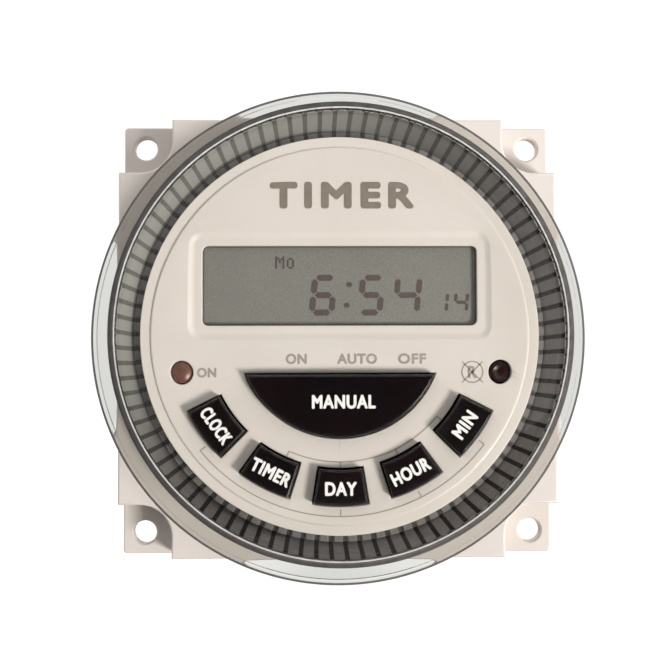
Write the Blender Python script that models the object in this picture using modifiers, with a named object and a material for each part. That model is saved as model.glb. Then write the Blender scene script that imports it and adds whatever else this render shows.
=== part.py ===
"""Seven-day digital time switch: a 60 mm square module with a round front, under a clear push-on cover.

Everything is modelled in the face frame, an empty called time_switch_frame: x to the right, y up and
z straight out of the face, measured from the back of the four mounting ears. The empty turns that
frame so that the face looks along world -Y, and sets the world origin on the rail seat.
"""
import math

import bmesh
import bpy

# ------------------------------------------------------------------ driving dimensions (metres)
MM = 0.001
GAP = 0.3 * MM                    # air kept between neighbouring pieces
SINK = 0.5 * MM                   # how far joined shapes reach into each other

# Square block and its mounting ears
BLOCK_SIDE = 60.0 * MM
BLOCK_FRONT = 8.1 * MM
WALL = 1.6 * MM
EAR_THICKNESS = 2.2 * MM
EAR_HOLE_PITCH = 54.0 * MM
EAR_HOLE_RADIUS = 1.6 * MM
EAR_CORNER = 0.6 * MM
NOTCH = 7.3 * MM                  # corner notch that bares each ear
NOTCH_RADIUS = 4.3 * MM          # round the ear hole

# Round front: shoulder, locating ring, turret with rim, raised face disc
SHOULDER_RADIUS = 30.0 * MM
SHOULDER_FRONT = 10.5 * MM
RING_RADIUS = 27.7 * MM
RING_FRONT = 11.5 * MM
TURRET_RADIUS = 26.5 * MM
RIM_FRONT = 15.8 * MM
RIM_CHAMFER = 0.2 * MM
FACE_RADIUS = 25.0 * MM
FACE_FRONT = 16.1 * MM
FACE_WALL = 1.5 * MM
TURRET_BORE = 24.6 * MM

# Screw holes, from the driven thread to the clearance hole and its sink
CASE_PILOT_RADIUS = 1.15 * MM
BOARD_PILOT_RADIUS = 0.9 * MM
BOARD_HOLE_RADIUS = 1.0 * MM
CASE_SINK_RADIUS = 2.0 * MM
CASE_SINK_FRONT = 1.25 * MM
CASE_SCREW_HEAD = (1.7 * MM, 0.8 * MM)       # radius and height of the head
CASE_SCREW_SHANK = (0.8 * MM, 4.6 * MM)      # radius and length of the shank
BOARD_SCREW_HEAD = (1.4 * MM, 0.9 * MM)
BOARD_SCREW_SHANK_RADIUS = 0.6 * MM
LOGIC_SCREW_LENGTH = 3.6 * MM
POWER_SCREW_LENGTH = 2.9 * MM
SCREW_RECESS_WIDTH = 0.3 * MM

# Clear cover
COVER_BORE = 28.1 * MM
COVER_ROOT_RADIUS = 28.6 * MM     # between the grip ribs
COVER_RIB_RADIUS = 29.05 * MM
COVER_RIBS = 90
RIB_SHARE = 0.7                   # part of the pitch that a rib takes
RIB_SLOPE = 0.06                  # part of the pitch that each side of a groove takes
COVER_FRONT = 24.3 * MM
COVER_WINDOW = 1.2 * MM
COVER_FRONT_STEP = 0.4 * MM       # how far behind the window's front the ribs end
SKIRT_FLANGE_RADIUS = 33.1 * MM
SKIRT_FLANGE = 1.3 * MM
COVER_BACK = SHOULDER_FRONT + GAP

# Display
DISPLAY_CENTRE = (0.0, 6.5 * MM)
DISPLAY_WINDOW = (35.8 * MM, 10.4 * MM)
DISPLAY_TRAY = (39.5 * MM, 14.0 * MM)
TRAY_DEPTH = 0.3 * MM
TRAY_CORNER = 1.6 * MM
WINDOW_CORNER = 0.6 * MM
LCD_POCKET = 0.7 * MM             # recess behind the face that the glass sits in
LCD_GLASS = (37.6 * MM, 12.6 * MM, 1.8 * MM)
LCD_FRAME = (40.4 * MM, 15.2 * MM)
ZEBRA_WIDTH = 1.4 * MM
ZEBRA_INSET = 1.0 * MM            # from the glass's long edges to the middle of each strip

# Keys
KEY_PROUD = 1.5 * MM
KEY_CLEARANCE = 0.2 * MM
KEY_FLANGE = 0.5 * MM
KEY_FLANGE_WIDTH = 0.6 * MM
MANUAL_RADIUS = 13.2 * MM
MANUAL_CHORD = -5.1 * MM
SECTOR_INNER = 17.4 * MM
SECTOR_OUTER = 22.1 * MM
SECTOR_HALF_ANGLE = math.radians(9.2)
SECTOR_KEYS = (("clock", -54), ("timer", -27), ("day", 0), ("hour", 27), ("min", 54))
INDICATOR_AT = (-20.6 * MM, -4.8 * MM)
INDICATOR_RADIUS = 1.45 * MM
INDICATOR_PROUD = 0.2 * MM
RESET_AT = (20.9 * MM, -4.8 * MM)
RESET_HOLE_RADIUS = 1.6 * MM
RESET_RADIUS = 1.35 * MM
RESET_FRONT = FACE_FRONT - 0.5 * MM

# Logic board behind the face
LOGIC_BOARD_RADIUS = 24.2 * MM
LOGIC_BOARD = 1.2 * MM
LOGIC_FRONT = 11.0 * MM
LOGIC_SCREWS = ((-13.5 * MM, 18.6 * MM), (13.5 * MM, 18.6 * MM))
LOGIC_POST_RADIUS = 1.8 * MM
PROP_AT = (0.0, -15.55 * MM)
PROP_RADIUS = 1.0 * MM
SWITCH_BODY = 1.6 * MM
SWITCH_SIZES = {"manual": (6.0 * MM, 6.0 * MM), "sector": (5.0 * MM, 3.6 * MM), "reset": (3.4 * MM, 3.4 * MM)}
PLUNGER_RADIUS = 1.0 * MM
PLUNGER_LIFT = 0.75 * MM          # air under a plunger, more than a key's travel
CHIP = (10.0 * MM, 10.0 * MM, 1.2 * MM)
CHIP_AT = (7.0 * MM, 13.0 * MM)
CRYSTAL = (6.0 * MM, 2.0 * MM, 1.4 * MM)
CRYSTAL_AT = (-6.0 * MM, 12.5 * MM)

# Rear housing, rail foot and terminals
SEAT = -8.5 * MM                  # plane that rests on the rail's front
REAR_SIDE = 48.0 * MM
REAR_WALL = 1.5 * MM
REAR_CORNER = 6.0 * MM            # rounded so that the ears stay bare behind
REAR_FLANGE = 2.0 * MM
RAIL_CENTRE = 3.0 * MM
RAIL_HEIGHT = 35.0 * MM
RAIL_PLAY = 0.3 * MM
RAIL_LIP = 1.0 * MM
HOOK_HALF_WIDTH = 16.0 * MM
HOOK_GRIP = 1.5 * MM
FOOT_BACK = -13.4 * MM
LATCH_GRIP = 1.5 * MM
LATCH_HALF_WIDTH = 6.0 * MM
LATCH_THICKNESS = 2.3 * MM
LATCH_TRACK_LIP = 2.2 * MM        # how much narrower the track's mouth is on each side
LATCH_HOUSING_HALF_WIDTH = 10.5 * MM
TAB_HALF_WIDTH = 8.0 * MM
TAB_HEIGHT = 3.0 * MM
TAB_STEP = 1.0 * MM               # how far the tab stands out behind the latch
DRIVER_SLOT = (-2.6 * MM, 2.6 * MM)
DRIVER_SLOT_RISE = (0.9 * MM, 1.9 * MM)
SPRING_WINDOW = (-22.5 * MM, -16.2 * MM)
SPRING_HALF_WINDOW = 1.5 * MM
SPRING_POST_HEIGHT = 1.0 * MM
SPRING_POST_HALF_WIDTH = 1.2 * MM
SPRING_WIRE = 0.17 * MM           # radius of the wire
SPRING_RADIUS = 0.85 * MM
SPRING_TURNS = 5
BAY_TOP = -15.8 * MM
BAY_DEPTHS = (-7.3 * MM, -0.6 * MM)
TERMINALS = 5
TERMINAL_PITCH = 8.8 * MM
BLADE_WIDTH = 4.8 * MM
BLADE_THICKNESS = 0.8 * MM
BLADE_CHAMFER = 0.8 * MM
BLADE_HOLE_RADIUS = 0.7 * MM
BLADE_HOLE_REACH = 3.4 * MM       # from the tip to the detent hole
BLADE_TAIL = 1.6 * MM
BLADE_TAIL_REACH = 2.4 * MM       # how far the tail reaches into the housing
CASE_SCREW_AT = (26.0 * MM, 15.5 * MM)
CASE_BOSS_RADIUS = 2.5 * MM

# Power board
POWER_BOARD = 1.6 * MM
POWER_FRONT = -3.6 * MM
POWER_SCREWS = ((-18.8 * MM, 19.2 * MM), (18.8 * MM, 19.2 * MM))
PART_BASE = POWER_FRONT + GAP     # where parts stand on the power board
POST_RADIUS = 1.8 * MM
RELAY = ((-19.6 * MM, 8.8 * MM), (-11.4 * MM, -1.4 * MM), 12.3 * MM)
DROPPER = ((1.6 * MM, 19.6 * MM), (0.0, 7.0 * MM), 11.5 * MM)
RECTIFIER = ((9.6 * MM, 15.6 * MM), (16.6 * MM, 20.8 * MM), 2.5 * MM)
SMOOTHING_AT = (15.0 * MM, -6.6 * MM)
BATTERY_AT = (-12.5 * MM, 8.4 * MM)
VARISTOR_AT = (3.2 * MM, 13.0 * MM, PART_BASE + 4.4 * MM)
VARISTOR = (3.6 * MM, 3.4 * MM)   # radius and thickness
FUSE_AT = (14.0 * MM, 12.0 * MM, PART_BASE + 2.0 * MM)
FUSE = (1.6 * MM, 9.0 * MM)       # radius and length
HEADER_PINS = 5
HEADER_PITCH = 2.54 * MM
HEADER_AT = (-2.0 * MM, 19.6 * MM)
HEADER_HALF_WIDTH = 1.2 * MM
HEADER_HEIGHT = 2.5 * MM
PIN_HALF_WIDTH = 0.3 * MM

# Worked out from the above
HALF_BLOCK = BLOCK_SIDE / 2
EAR_HOLE = EAR_HOLE_PITCH / 2
HALF_REAR = REAR_SIDE / 2
FACE_INNER = FACE_FRONT - FACE_WALL
LOGIC_BACK = LOGIC_FRONT - LOGIC_BOARD
POWER_BACK = POWER_FRONT - POWER_BOARD
REAR_INNER = SEAT + REAR_WALL
RAIL_TOP = RAIL_CENTRE + RAIL_HEIGHT / 2
RAIL_BOTTOM = RAIL_CENTRE - RAIL_HEIGHT / 2
FOOT_EDGE = RAIL_BOTTOM - RAIL_PLAY
CAVITY_BOTTOM = BAY_TOP + 1.4 * MM
LIP_BACK = SEAT - RAIL_LIP - RAIL_PLAY
SECTOR_CENTRE = (SECTOR_INNER + SECTOR_OUTER) / 2
KEY_BACK = FACE_INNER - GAP - KEY_FLANGE
PLUNGER_FRONT = KEY_BACK - GAP
LCD_FRONT = FACE_INNER + LCD_POCKET - GAP
LATCH_FRONT = LIP_BACK
LATCH_BACK = LATCH_FRONT - LATCH_THICKNESS
LATCH_TIP = RAIL_BOTTOM + LATCH_GRIP
TAB_TOP = -HALF_REAR - GAP
TAB_BOTTOM = TAB_TOP - TAB_HEIGHT
SPRING_POST = (SPRING_WINDOW[0] + GAP, SPRING_WINDOW[0] + GAP + SPRING_POST_HEIGHT)
MANUAL_SWITCH_AT = (0.0, -9.2 * MM)


# ------------------------------------------------------------------ scene and materials
def clear_scene():
    for old in list(bpy.data.objects):
        bpy.data.objects.remove(old, do_unlink=True)


def new_collection(name):
    group = bpy.data.collections.new(name)
    bpy.context.scene.collection.children.link(group)
    return group


def make_material(name, colour, roughness, metallic=0.0, alpha=1.0):
    made = bpy.data.materials.new(name)
    made.use_nodes = True
    shader = made.node_tree.nodes["Principled BSDF"]
    shader.inputs["Base Color"].default_value = (*colour, 1.0)
    shader.inputs["Roughness"].default_value = roughness
    shader.inputs["Metallic"].default_value = metallic
    shader.inputs["Alpha"].default_value = alpha
    return made


clear_scene()
PARTS = new_collection("digital_time_switch")
CUTTERS = new_collection("cutters")

MATERIALS = {
    "cream_plastic": make_material("cream_plastic", (0.80, 0.74, 0.67), 0.45),
    "clear_plastic": make_material("clear_plastic", (0.86, 0.86, 0.83), 0.08, alpha=0.3),
    "key_plastic": make_material("key_plastic", (0.012, 0.010, 0.012), 0.22),
    "lcd_glass": make_material("lcd_glass", (0.30, 0.29, 0.25), 0.15),
    "dark_plastic": make_material("dark_plastic", (0.03, 0.03, 0.035), 0.5),
    "indicator_red": make_material("indicator_red", (0.20, 0.06, 0.05), 0.3),
    "board_green": make_material("board_green", (0.03, 0.16, 0.07), 0.4),
    "steel": make_material("steel", (0.55, 0.55, 0.56), 0.35, metallic=1.0),
    "brass": make_material("brass", (0.75, 0.56, 0.25), 0.35, metallic=1.0),
    "spring_steel": make_material("spring_steel", (0.45, 0.45, 0.47), 0.3, metallic=1.0),
    "relay_blue": make_material("relay_blue", (0.02, 0.06, 0.22), 0.4),
    "capacitor_yellow": make_material("capacitor_yellow", (0.75, 0.50, 0.05), 0.4),
    "battery_green": make_material("battery_green", (0.05, 0.25, 0.12), 0.4),
    "rubber": make_material("rubber", (0.55, 0.56, 0.56), 0.8),
    "ceramic_blue": make_material("ceramic_blue", (0.03, 0.12, 0.40), 0.5),
    "latch_plastic": make_material("latch_plastic", (0.08, 0.08, 0.09), 0.5),
}

FRAME = bpy.data.objects.new("time_switch_frame", None)
FRAME.rotation_euler = (math.pi / 2, 0.0, 0.0)
FRAME.location = (0.0, SEAT, 0.0)
PARTS.objects.link(FRAME)


# ------------------------------------------------------------------ shape helpers
def place(name, mesh, location=(0, 0, 0), turn=0.0, group=None):
    """Put a mesh in the face frame, turned by an angle about the face axis."""
    placed = bpy.data.objects.new(name, mesh)
    placed.parent = FRAME
    placed.location = location
    placed.rotation_euler = (0.0, 0.0, turn)
    (group or PARTS).objects.link(placed)
    if placed.name in CUTTERS.objects:
        placed.hide_render = True
        placed.display_type = "WIRE"
    return placed


def finish(part, material, smooth_angle=None):
    """Give a part its material, and smooth shading up to an angle where it is round."""
    part.data.materials.clear()
    part.data.materials.append(MATERIALS[material])
    if smooth_angle is not None:
        part.data.shade_smooth()
        part.data.set_sharp_from_angle(angle=math.radians(smooth_angle))
    return part


def arc(centre, radius, start, end, steps):
    """Points on an arc from the start angle to the end angle, in degrees."""
    points = []
    for i in range(steps + 1):
        angle = math.radians(start + (end - start) * i / steps)
        points.append((centre[0] + radius * math.cos(angle), centre[1] + radius * math.sin(angle)))
    return points


def rounded_rectangle(width, height, radius, steps=4):
    corners = ((1, 1, 0), (-1, 1, 90), (-1, -1, 180), (1, -1, 270))
    points = []
    for side_x, side_y, start in corners:
        centre = (side_x * (width / 2 - radius), side_y * (height / 2 - radius))
        points += arc(centre, radius, start, start + 90, steps)
    return points


def plate_mesh(name, outlines, thickness):
    """A flat plate from closed outlines (the first is the edge, any others are holes)."""
    curve = bpy.data.curves.new(name + "_outline", "CURVE")
    curve.dimensions = "2D"
    curve.fill_mode = "BOTH" if len(outlines) > 1 else "NONE"
    curve.extrude = thickness / 2
    for outline in outlines:
        spline = curve.splines.new("POLY")
        spline.points.add(len(outline) - 1)
        for point, (x, y) in zip(spline.points, outline):
            point.co = (x, y, 0.0, 1.0)
        spline.use_cyclic_u = True
    holder = bpy.data.objects.new(name + "_outline", curve)
    bpy.context.scene.collection.objects.link(holder)
    graph = bpy.context.evaluated_depsgraph_get()
    mesh = bpy.data.meshes.new_from_object(holder.evaluated_get(graph))
    bpy.data.objects.remove(holder)
    mesh.name = name
    work = bmesh.new()
    work.from_mesh(mesh)
    bmesh.ops.remove_doubles(work, verts=work.verts, dist=0.001 * MM)
    open_ends = [edge for edge in work.edges if edge.is_boundary]
    bmesh.ops.holes_fill(work, edges=open_ends, sides=0)
    bmesh.ops.recalc_face_normals(work, faces=work.faces)
    work.to_mesh(mesh)
    work.free()
    return mesh


def plate(name, outline, back, front, at=(0, 0), turn=0.0, group=None, holes=()):
    mesh = plate_mesh(name, [outline, *holes], front - back)
    return place(name, mesh, (at[0], at[1], (back + front) / 2), turn, group)


def box(name, size, centre, turn=0.0, group=None):
    mesh = bpy.data.meshes.new(name)
    work = bmesh.new()
    bmesh.ops.create_cube(work, size=1.0)
    bmesh.ops.scale(work, vec=size, verts=work.verts)
    work.to_mesh(mesh)
    work.free()
    return place(name, mesh, centre, turn, group)


def block(name, x_range, y_range, z_range, group=None):
    """A box between two corners, given as ranges along each axis."""
    ranges = (x_range, y_range, z_range)
    size = [high - low for low, high in ranges]
    centre = [(high + low) / 2 for low, high in ranges]
    return box(name, size, centre, group=group)


def cylinder(name, radius, back, front, at=(0, 0), segments=24, group=None):
    mesh = bpy.data.meshes.new(name)
    work = bmesh.new()
    bmesh.ops.create_cone(work, cap_ends=True, segments=segments, radius1=radius, radius2=radius,
                          depth=front - back)
    work.to_mesh(mesh)
    work.free()
    return place(name, mesh, (at[0], at[1], (back + front) / 2), group=group)


def turned(name, profile, at=(0, 0), steps=24, group=None):
    """A turned shape: the profile runs down the outer side, from front to back."""
    mesh = bpy.data.meshes.new(name)
    mesh.from_pydata([(radius, 0.0, height) for radius, height in profile],
                     [(i, i + 1) for i in range(len(profile) - 1)], [])
    part = place(name, mesh, (at[0], at[1], 0.0), group=group)
    screw = part.modifiers.new("turn", "SCREW")
    screw.steps = steps
    screw.render_steps = steps
    screw.use_merge_vertices = True
    screw.merge_threshold = 0.005 * MM
    return part


def combine(part, tool, operation):
    step = part.modifiers.new(operation.lower() + "_" + tool.name, "BOOLEAN")
    step.operation = operation
    step.solver = "EXACT"
    step.object = tool
    return part


def cut(part, *tools):
    for tool in tools:
        combine(part, tool, "DIFFERENCE")
    return part


def join(part, *tools):
    for tool in tools:
        combine(part, tool, "UNION")
    return part


def baked_mesh(part):
    """The part's mesh with its modifiers worked out, for copies to share."""
    bpy.context.view_layer.update()
    graph = bpy.context.evaluated_depsgraph_get()
    return bpy.data.meshes.new_from_object(part.evaluated_get(graph))


def bevel(part, width, segments=1, angle=40):
    edge = part.modifiers.new("bevel", "BEVEL")
    edge.width = width
    edge.segments = segments
    edge.limit_method = "ANGLE"
    edge.angle_limit = math.radians(angle)
    return part


# ------------------------------------------------------------------ outlines
def notched_outline(inset):
    """The block's outline, drawn in by an inset, with a notch at each corner that has a round bottom."""
    half = HALF_BLOCK - inset
    notch_line = HALF_BLOCK - NOTCH - inset
    centre = HALF_BLOCK - NOTCH + NOTCH_RADIUS
    points = []
    for corner in range(4):
        quarter = corner * math.pi / 2
        cosine, sine = round(math.cos(quarter)), round(math.sin(quarter))
        corner_points = [(half, notch_line)]
        corner_points += arc((centre, centre), centre - notch_line, 270, 180, 6)
        corner_points += [(notch_line, half)]
        points += [(x * cosine - y * sine, x * sine + y * cosine) for x, y in corner_points]
    return points


def manual_outline(grow=0.0):
    """Lower segment of a circle, widened by grow."""
    radius = MANUAL_RADIUS + grow
    chord = MANUAL_CHORD + grow
    start = math.degrees(math.asin(chord / radius))
    return arc((0, 0), radius, 180 - start, 360 + start, 26)


def sector_outline(grow=0.0):
    """Ring sector centred on straight down, about its own centre, widened by grow."""
    inner = SECTOR_INNER - grow
    outer = SECTOR_OUTER + grow
    points = []
    for radius, direction in ((outer, 1), (inner, -1)):
        half = math.degrees(SECTOR_HALF_ANGLE + grow / radius) * direction
        points += arc((0, SECTOR_CENTRE), radius, 270 - half, 270 + half, 6)
    return points


def sector_place(degrees):
    angle = math.radians(degrees)
    return SECTOR_CENTRE * math.sin(angle), -SECTOR_CENTRE * math.cos(angle)


# ------------------------------------------------------------------ front housing
def turret_blank():
    chamfer = RIM_CHAMFER
    profile = [
        (0.0, FACE_FRONT),
        (FACE_RADIUS - chamfer / 2, FACE_FRONT),
        (FACE_RADIUS, RIM_FRONT),
        (TURRET_RADIUS - chamfer, RIM_FRONT),
        (TURRET_RADIUS, RIM_FRONT - chamfer),
        (TURRET_RADIUS, RING_FRONT),
        (RING_RADIUS - chamfer, RING_FRONT),
        (RING_RADIUS, RING_FRONT - chamfer),
        (RING_RADIUS, SHOULDER_FRONT),
        (SHOULDER_RADIUS - chamfer, SHOULDER_FRONT),
        (SHOULDER_RADIUS, SHOULDER_FRONT - chamfer),
        (SHOULDER_RADIUS, BLOCK_FRONT - SINK),
        (0.0, BLOCK_FRONT - SINK),
    ]
    return turned("turret_blank", profile, steps=72, group=CUTTERS)


def lcd_opening():
    """Outline of the hole that the display's glass fits in."""
    width, height, _ = LCD_GLASS
    return rounded_rectangle(width + 2 * GAP, height + 2 * GAP, GAP, 1)


def face_openings():
    """Everything that is cut in the face: display window and pocket, key holes, indicator and reset."""
    through = (FACE_INNER - WALL, FACE_FRONT + WALL)
    tools = [
        plate("tray_cut", rounded_rectangle(*DISPLAY_TRAY, TRAY_CORNER), FACE_FRONT - TRAY_DEPTH, through[1],
              DISPLAY_CENTRE, group=CUTTERS),
        plate("lcd_pocket", lcd_opening(), through[0], FACE_INNER + LCD_POCKET, DISPLAY_CENTRE,
              group=CUTTERS),
        plate("window_cut", rounded_rectangle(*DISPLAY_WINDOW, WINDOW_CORNER, 3), *through,
              DISPLAY_CENTRE, group=CUTTERS),
        plate("manual_cut", manual_outline(KEY_CLEARANCE), *through, group=CUTTERS),
        cylinder("indicator_cut", INDICATOR_RADIUS + KEY_CLEARANCE, *through, INDICATOR_AT, 20, CUTTERS),
        cylinder("reset_cut", RESET_HOLE_RADIUS, *through, RESET_AT, 20, CUTTERS),
    ]
    for key, degrees in SECTOR_KEYS:
        tools.append(plate(key + "_cut", sector_outline(KEY_CLEARANCE), *through, sector_place(degrees),
                           math.radians(degrees), CUTTERS))
    return tools


def case_screw_places():
    x, y = CASE_SCREW_AT
    return [(x, y), (-x, y), (-x, -y), (x, -y)]


def front_housing():
    ears = rounded_rectangle(BLOCK_SIDE, BLOCK_SIDE, EAR_CORNER, 2)
    housing = plate("front_housing", ears, 0.0, EAR_THICKNESS)
    body = plate("block_blank", notched_outline(0.0), EAR_THICKNESS - SINK, BLOCK_FRONT, group=CUTTERS)
    join(housing, body, turret_blank())
    inner_front = BLOCK_FRONT - WALL
    hollow = plate("block_hollow", notched_outline(WALL), -WALL, inner_front, group=CUTTERS)
    bore = cylinder("turret_hollow", TURRET_BORE, inner_front - SINK, FACE_INNER, segments=72, group=CUTTERS)
    cut(housing, hollow, bore, *face_openings())
    boss_span = (REAR_FLANGE + GAP, inner_front + SINK)
    for i, at in enumerate(case_screw_places()):
        boss = cylinder(f"case_boss_{i}", CASE_BOSS_RADIUS, *boss_span, at, 20, CUTTERS)
        hole = cylinder(f"case_boss_hole_{i}", CASE_PILOT_RADIUS, -WALL, inner_front, at, 12, CUTTERS)
        join(housing, boss)
        cut(housing, hole)
    post_span = (LOGIC_FRONT + GAP, FACE_INNER + SINK)
    pilot_span = (LOGIC_FRONT, FACE_INNER - SINK)
    for i, at in enumerate(LOGIC_SCREWS):
        join(housing, cylinder(f"board_post_{i}", LOGIC_POST_RADIUS, *post_span, at, 16, CUTTERS))
        cut(housing, cylinder(f"board_post_hole_{i}", BOARD_PILOT_RADIUS, *pilot_span, at, 12, CUTTERS))
    join(housing, cylinder("board_prop", PROP_RADIUS, *post_span, PROP_AT, 12, CUTTERS))
    for i, (side_x, side_y) in enumerate(((1, 1), (-1, 1), (-1, -1), (1, -1))):
        at = (side_x * EAR_HOLE, side_y * EAR_HOLE)
        cut(housing, cylinder(f"ear_hole_{i}", EAR_HOLE_RADIUS, -WALL, EAR_THICKNESS + WALL, at, 24, CUTTERS))
    return finish(housing, "cream_plastic", 35)


# ------------------------------------------------------------------ clear cover
def rib_outline():
    """Outline of the grip ribs: a rib and a groove for each step round the skirt."""
    pitch = 360 / COVER_RIBS
    points = []
    for rib in range(COVER_RIBS):
        start = rib * pitch
        points += arc((0, 0), COVER_RIB_RADIUS, start, start + pitch * RIB_SHARE, 1)
        groove = (start + pitch * (RIB_SHARE + RIB_SLOPE), start + pitch * (1 - RIB_SLOPE))
        points += arc((0, 0), COVER_ROOT_RADIUS, *groove, 1)
    return points


def clear_cover():
    cover = plate("clear_cover", rib_outline(), COVER_BACK + SKIRT_FLANGE / 2, COVER_FRONT - COVER_FRONT_STEP)
    window = cylinder("cover_front", COVER_ROOT_RADIUS, COVER_FRONT - COVER_WINDOW, COVER_FRONT,
                      segments=COVER_RIBS, group=CUTTERS)
    rim = cylinder("cover_flange", SKIRT_FLANGE_RADIUS, COVER_BACK, COVER_BACK + SKIRT_FLANGE,
                   segments=COVER_RIBS, group=CUTTERS)
    bore = cylinder("cover_bore", COVER_BORE, COVER_BACK - WALL, COVER_FRONT - COVER_WINDOW,
                    segments=COVER_RIBS, group=CUTTERS)
    join(cover, window, rim)
    cut(cover, bore)
    return finish(cover, "clear_plastic")


# ------------------------------------------------------------------ keys, switches and plungers
def key_shape(name, outline_of, at, turn=0.0):
    key = plate(name, outline_of(), KEY_BACK, FACE_FRONT + KEY_PROUD, at, turn)
    wider = outline_of(KEY_FLANGE_WIDTH)
    return join(key, plate(name + "_flange", wider, KEY_BACK, KEY_BACK + KEY_FLANGE, at, turn, CUTTERS))


def switch_mesh(width, height):
    """Tact switch body with a round well that its plunger moves in."""
    body = box("switch_blank", (width, height, SWITCH_BODY - GAP), (0, 0, 0), group=CUTTERS)
    cut(body, cylinder("switch_well", PLUNGER_RADIUS + GAP, -SWITCH_BODY / 2 + GAP * 2, SWITCH_BODY,
                       segments=12, group=CUTTERS))
    return baked_mesh(body)


def switch_and_plunger(key, at, turn, mesh):
    middle = LOGIC_FRONT + GAP + (SWITCH_BODY - GAP) / 2
    finish(place("switch_" + key, mesh, (at[0], at[1], middle), turn), "dark_plastic")
    well_floor = middle - SWITCH_BODY / 2 + GAP * 2
    plunger = cylinder("plunger_" + key, PLUNGER_RADIUS, well_floor + PLUNGER_LIFT, PLUNGER_FRONT, at, 12)
    finish(plunger, "rubber", 35)


def keys_and_switches():
    finish(key_shape("key_manual", manual_outline, (0, 0)), "key_plastic")
    switch_and_plunger("manual", MANUAL_SWITCH_AT, 0.0, switch_mesh(*SWITCH_SIZES["manual"]))
    sector_switch = switch_mesh(*SWITCH_SIZES["sector"])
    for key, degrees in SECTOR_KEYS:
        at = sector_place(degrees)
        turn = math.radians(degrees)
        finish(key_shape("key_" + key, sector_outline, at, turn), "key_plastic")
        switch_and_plunger(key, at, turn, sector_switch)
    flange_radius = RESET_RADIUS + KEY_FLANGE_WIDTH
    flange_front = KEY_BACK + KEY_FLANGE
    profile = [(0.0, RESET_FRONT), (RESET_RADIUS, RESET_FRONT), (RESET_RADIUS, flange_front),
               (flange_radius, flange_front), (flange_radius, KEY_BACK), (0.0, KEY_BACK)]
    reset = turned("key_reset", profile, RESET_AT, 16)
    finish(reset, "key_plastic", 35)
    switch_and_plunger("reset", RESET_AT, 0.0, switch_mesh(*SWITCH_SIZES["reset"]))


# ------------------------------------------------------------------ display and indicator
def display():
    x, y = DISPLAY_CENTRE
    width, height, thickness = LCD_GLASS
    glass_back = LCD_FRONT - thickness
    glass = box("lcd_panel", LCD_GLASS, (x, y, LCD_FRONT - thickness / 2))
    finish(glass, "lcd_glass")
    edge = rounded_rectangle(*LCD_FRAME, 0.8 * MM, 2)
    holder = plate("lcd_frame", edge, LOGIC_FRONT + GAP, FACE_INNER - GAP, DISPLAY_CENTRE,
                   holes=[lcd_opening()])
    finish(holder, "dark_plastic")
    half = width / 2 - MM
    for name, side in (("zebra_strip_upper", 1), ("zebra_strip_lower", -1)):
        row = y + side * (height / 2 - ZEBRA_INSET)
        rows = (row - ZEBRA_WIDTH / 2, row + ZEBRA_WIDTH / 2)
        finish(block(name, (x - half, x + half), rows, (LOGIC_FRONT + GAP, glass_back - GAP)), "rubber")


def indicator():
    dome = INDICATOR_RADIUS
    top = FACE_FRONT + INDICATOR_PROUD
    base = LOGIC_FRONT + GAP
    collar = base + MM
    flange = dome + GAP
    profile = [(0.0, top)]
    for i in range(1, 5):
        angle = math.pi / 2 * i / 4
        profile.append((dome * math.sin(angle), top - dome * (1 - math.cos(angle))))
    profile += [(dome, collar), (flange, collar), (flange, base), (0.0, base)]
    finish(turned("status_led", profile, INDICATOR_AT, 20), "indicator_red", 35)


# ------------------------------------------------------------------ logic board
def logic_board():
    board = cylinder("logic_board", LOGIC_BOARD_RADIUS, LOGIC_BACK, LOGIC_FRONT, segments=64)
    for i, at in enumerate(LOGIC_SCREWS):
        span = (LOGIC_BACK - WALL, LOGIC_FRONT + WALL)
        cut(board, cylinder(f"logic_hole_{i}", BOARD_HOLE_RADIUS, *span, at, 12, CUTTERS))
    finish(board, "board_green")
    chip = box("controller_chip", CHIP, (*CHIP_AT, LOGIC_BACK - GAP - CHIP[2] / 2))
    finish(bevel(chip, 0.2 * MM), "dark_plastic")
    crystal = box("clock_crystal", CRYSTAL, (*CRYSTAL_AT, LOGIC_BACK - GAP - CRYSTAL[2] / 2))
    finish(bevel(crystal, 0.5 * MM, 2), "steel")


def screw(name, at, head_end, direction, head, shank_radius, length):
    """Pan-head screw along the face axis, with a cross recess; direction is the way its shank points."""
    head_radius, head_height = head
    profile = [(0.0, 0.0), (head_radius * 0.75, 0.0), (head_radius, -head_height * 0.4),
               (head_radius, -head_height), (shank_radius, -head_height),
               (shank_radius, -head_height - length), (0.0, -head_height - length)]
    part = turned(name, profile, at, 16)
    part.location.z = head_end
    if direction > 0:
        part.rotation_euler.x = math.pi
    recess = (head_radius * 1.2, SCREW_RECESS_WIDTH, head_height)
    for turn in (0.0, math.pi / 2):
        cut(part, box(f"{name}_slot_{round(turn)}", recess, (*at, head_end), turn, CUTTERS))
    return finish(part, "steel")


def screws():
    board_head = BOARD_SCREW_HEAD[1]
    for i, at in enumerate(case_screw_places(), 1):
        screw(f"case_screw_{i}", at, GAP / 2, 1, CASE_SCREW_HEAD, *CASE_SCREW_SHANK)
    for i, at in enumerate(LOGIC_SCREWS, 1):
        screw(f"logic_screw_{i}", at, LOGIC_BACK - GAP - board_head, 1, BOARD_SCREW_HEAD,
              BOARD_SCREW_SHANK_RADIUS, LOGIC_SCREW_LENGTH)
    for i, at in enumerate(POWER_SCREWS, 1):
        screw(f"power_screw_{i}", at, POWER_FRONT + GAP + board_head, -1, BOARD_SCREW_HEAD,
              BOARD_SCREW_SHANK_RADIUS, POWER_SCREW_LENGTH)


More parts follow.
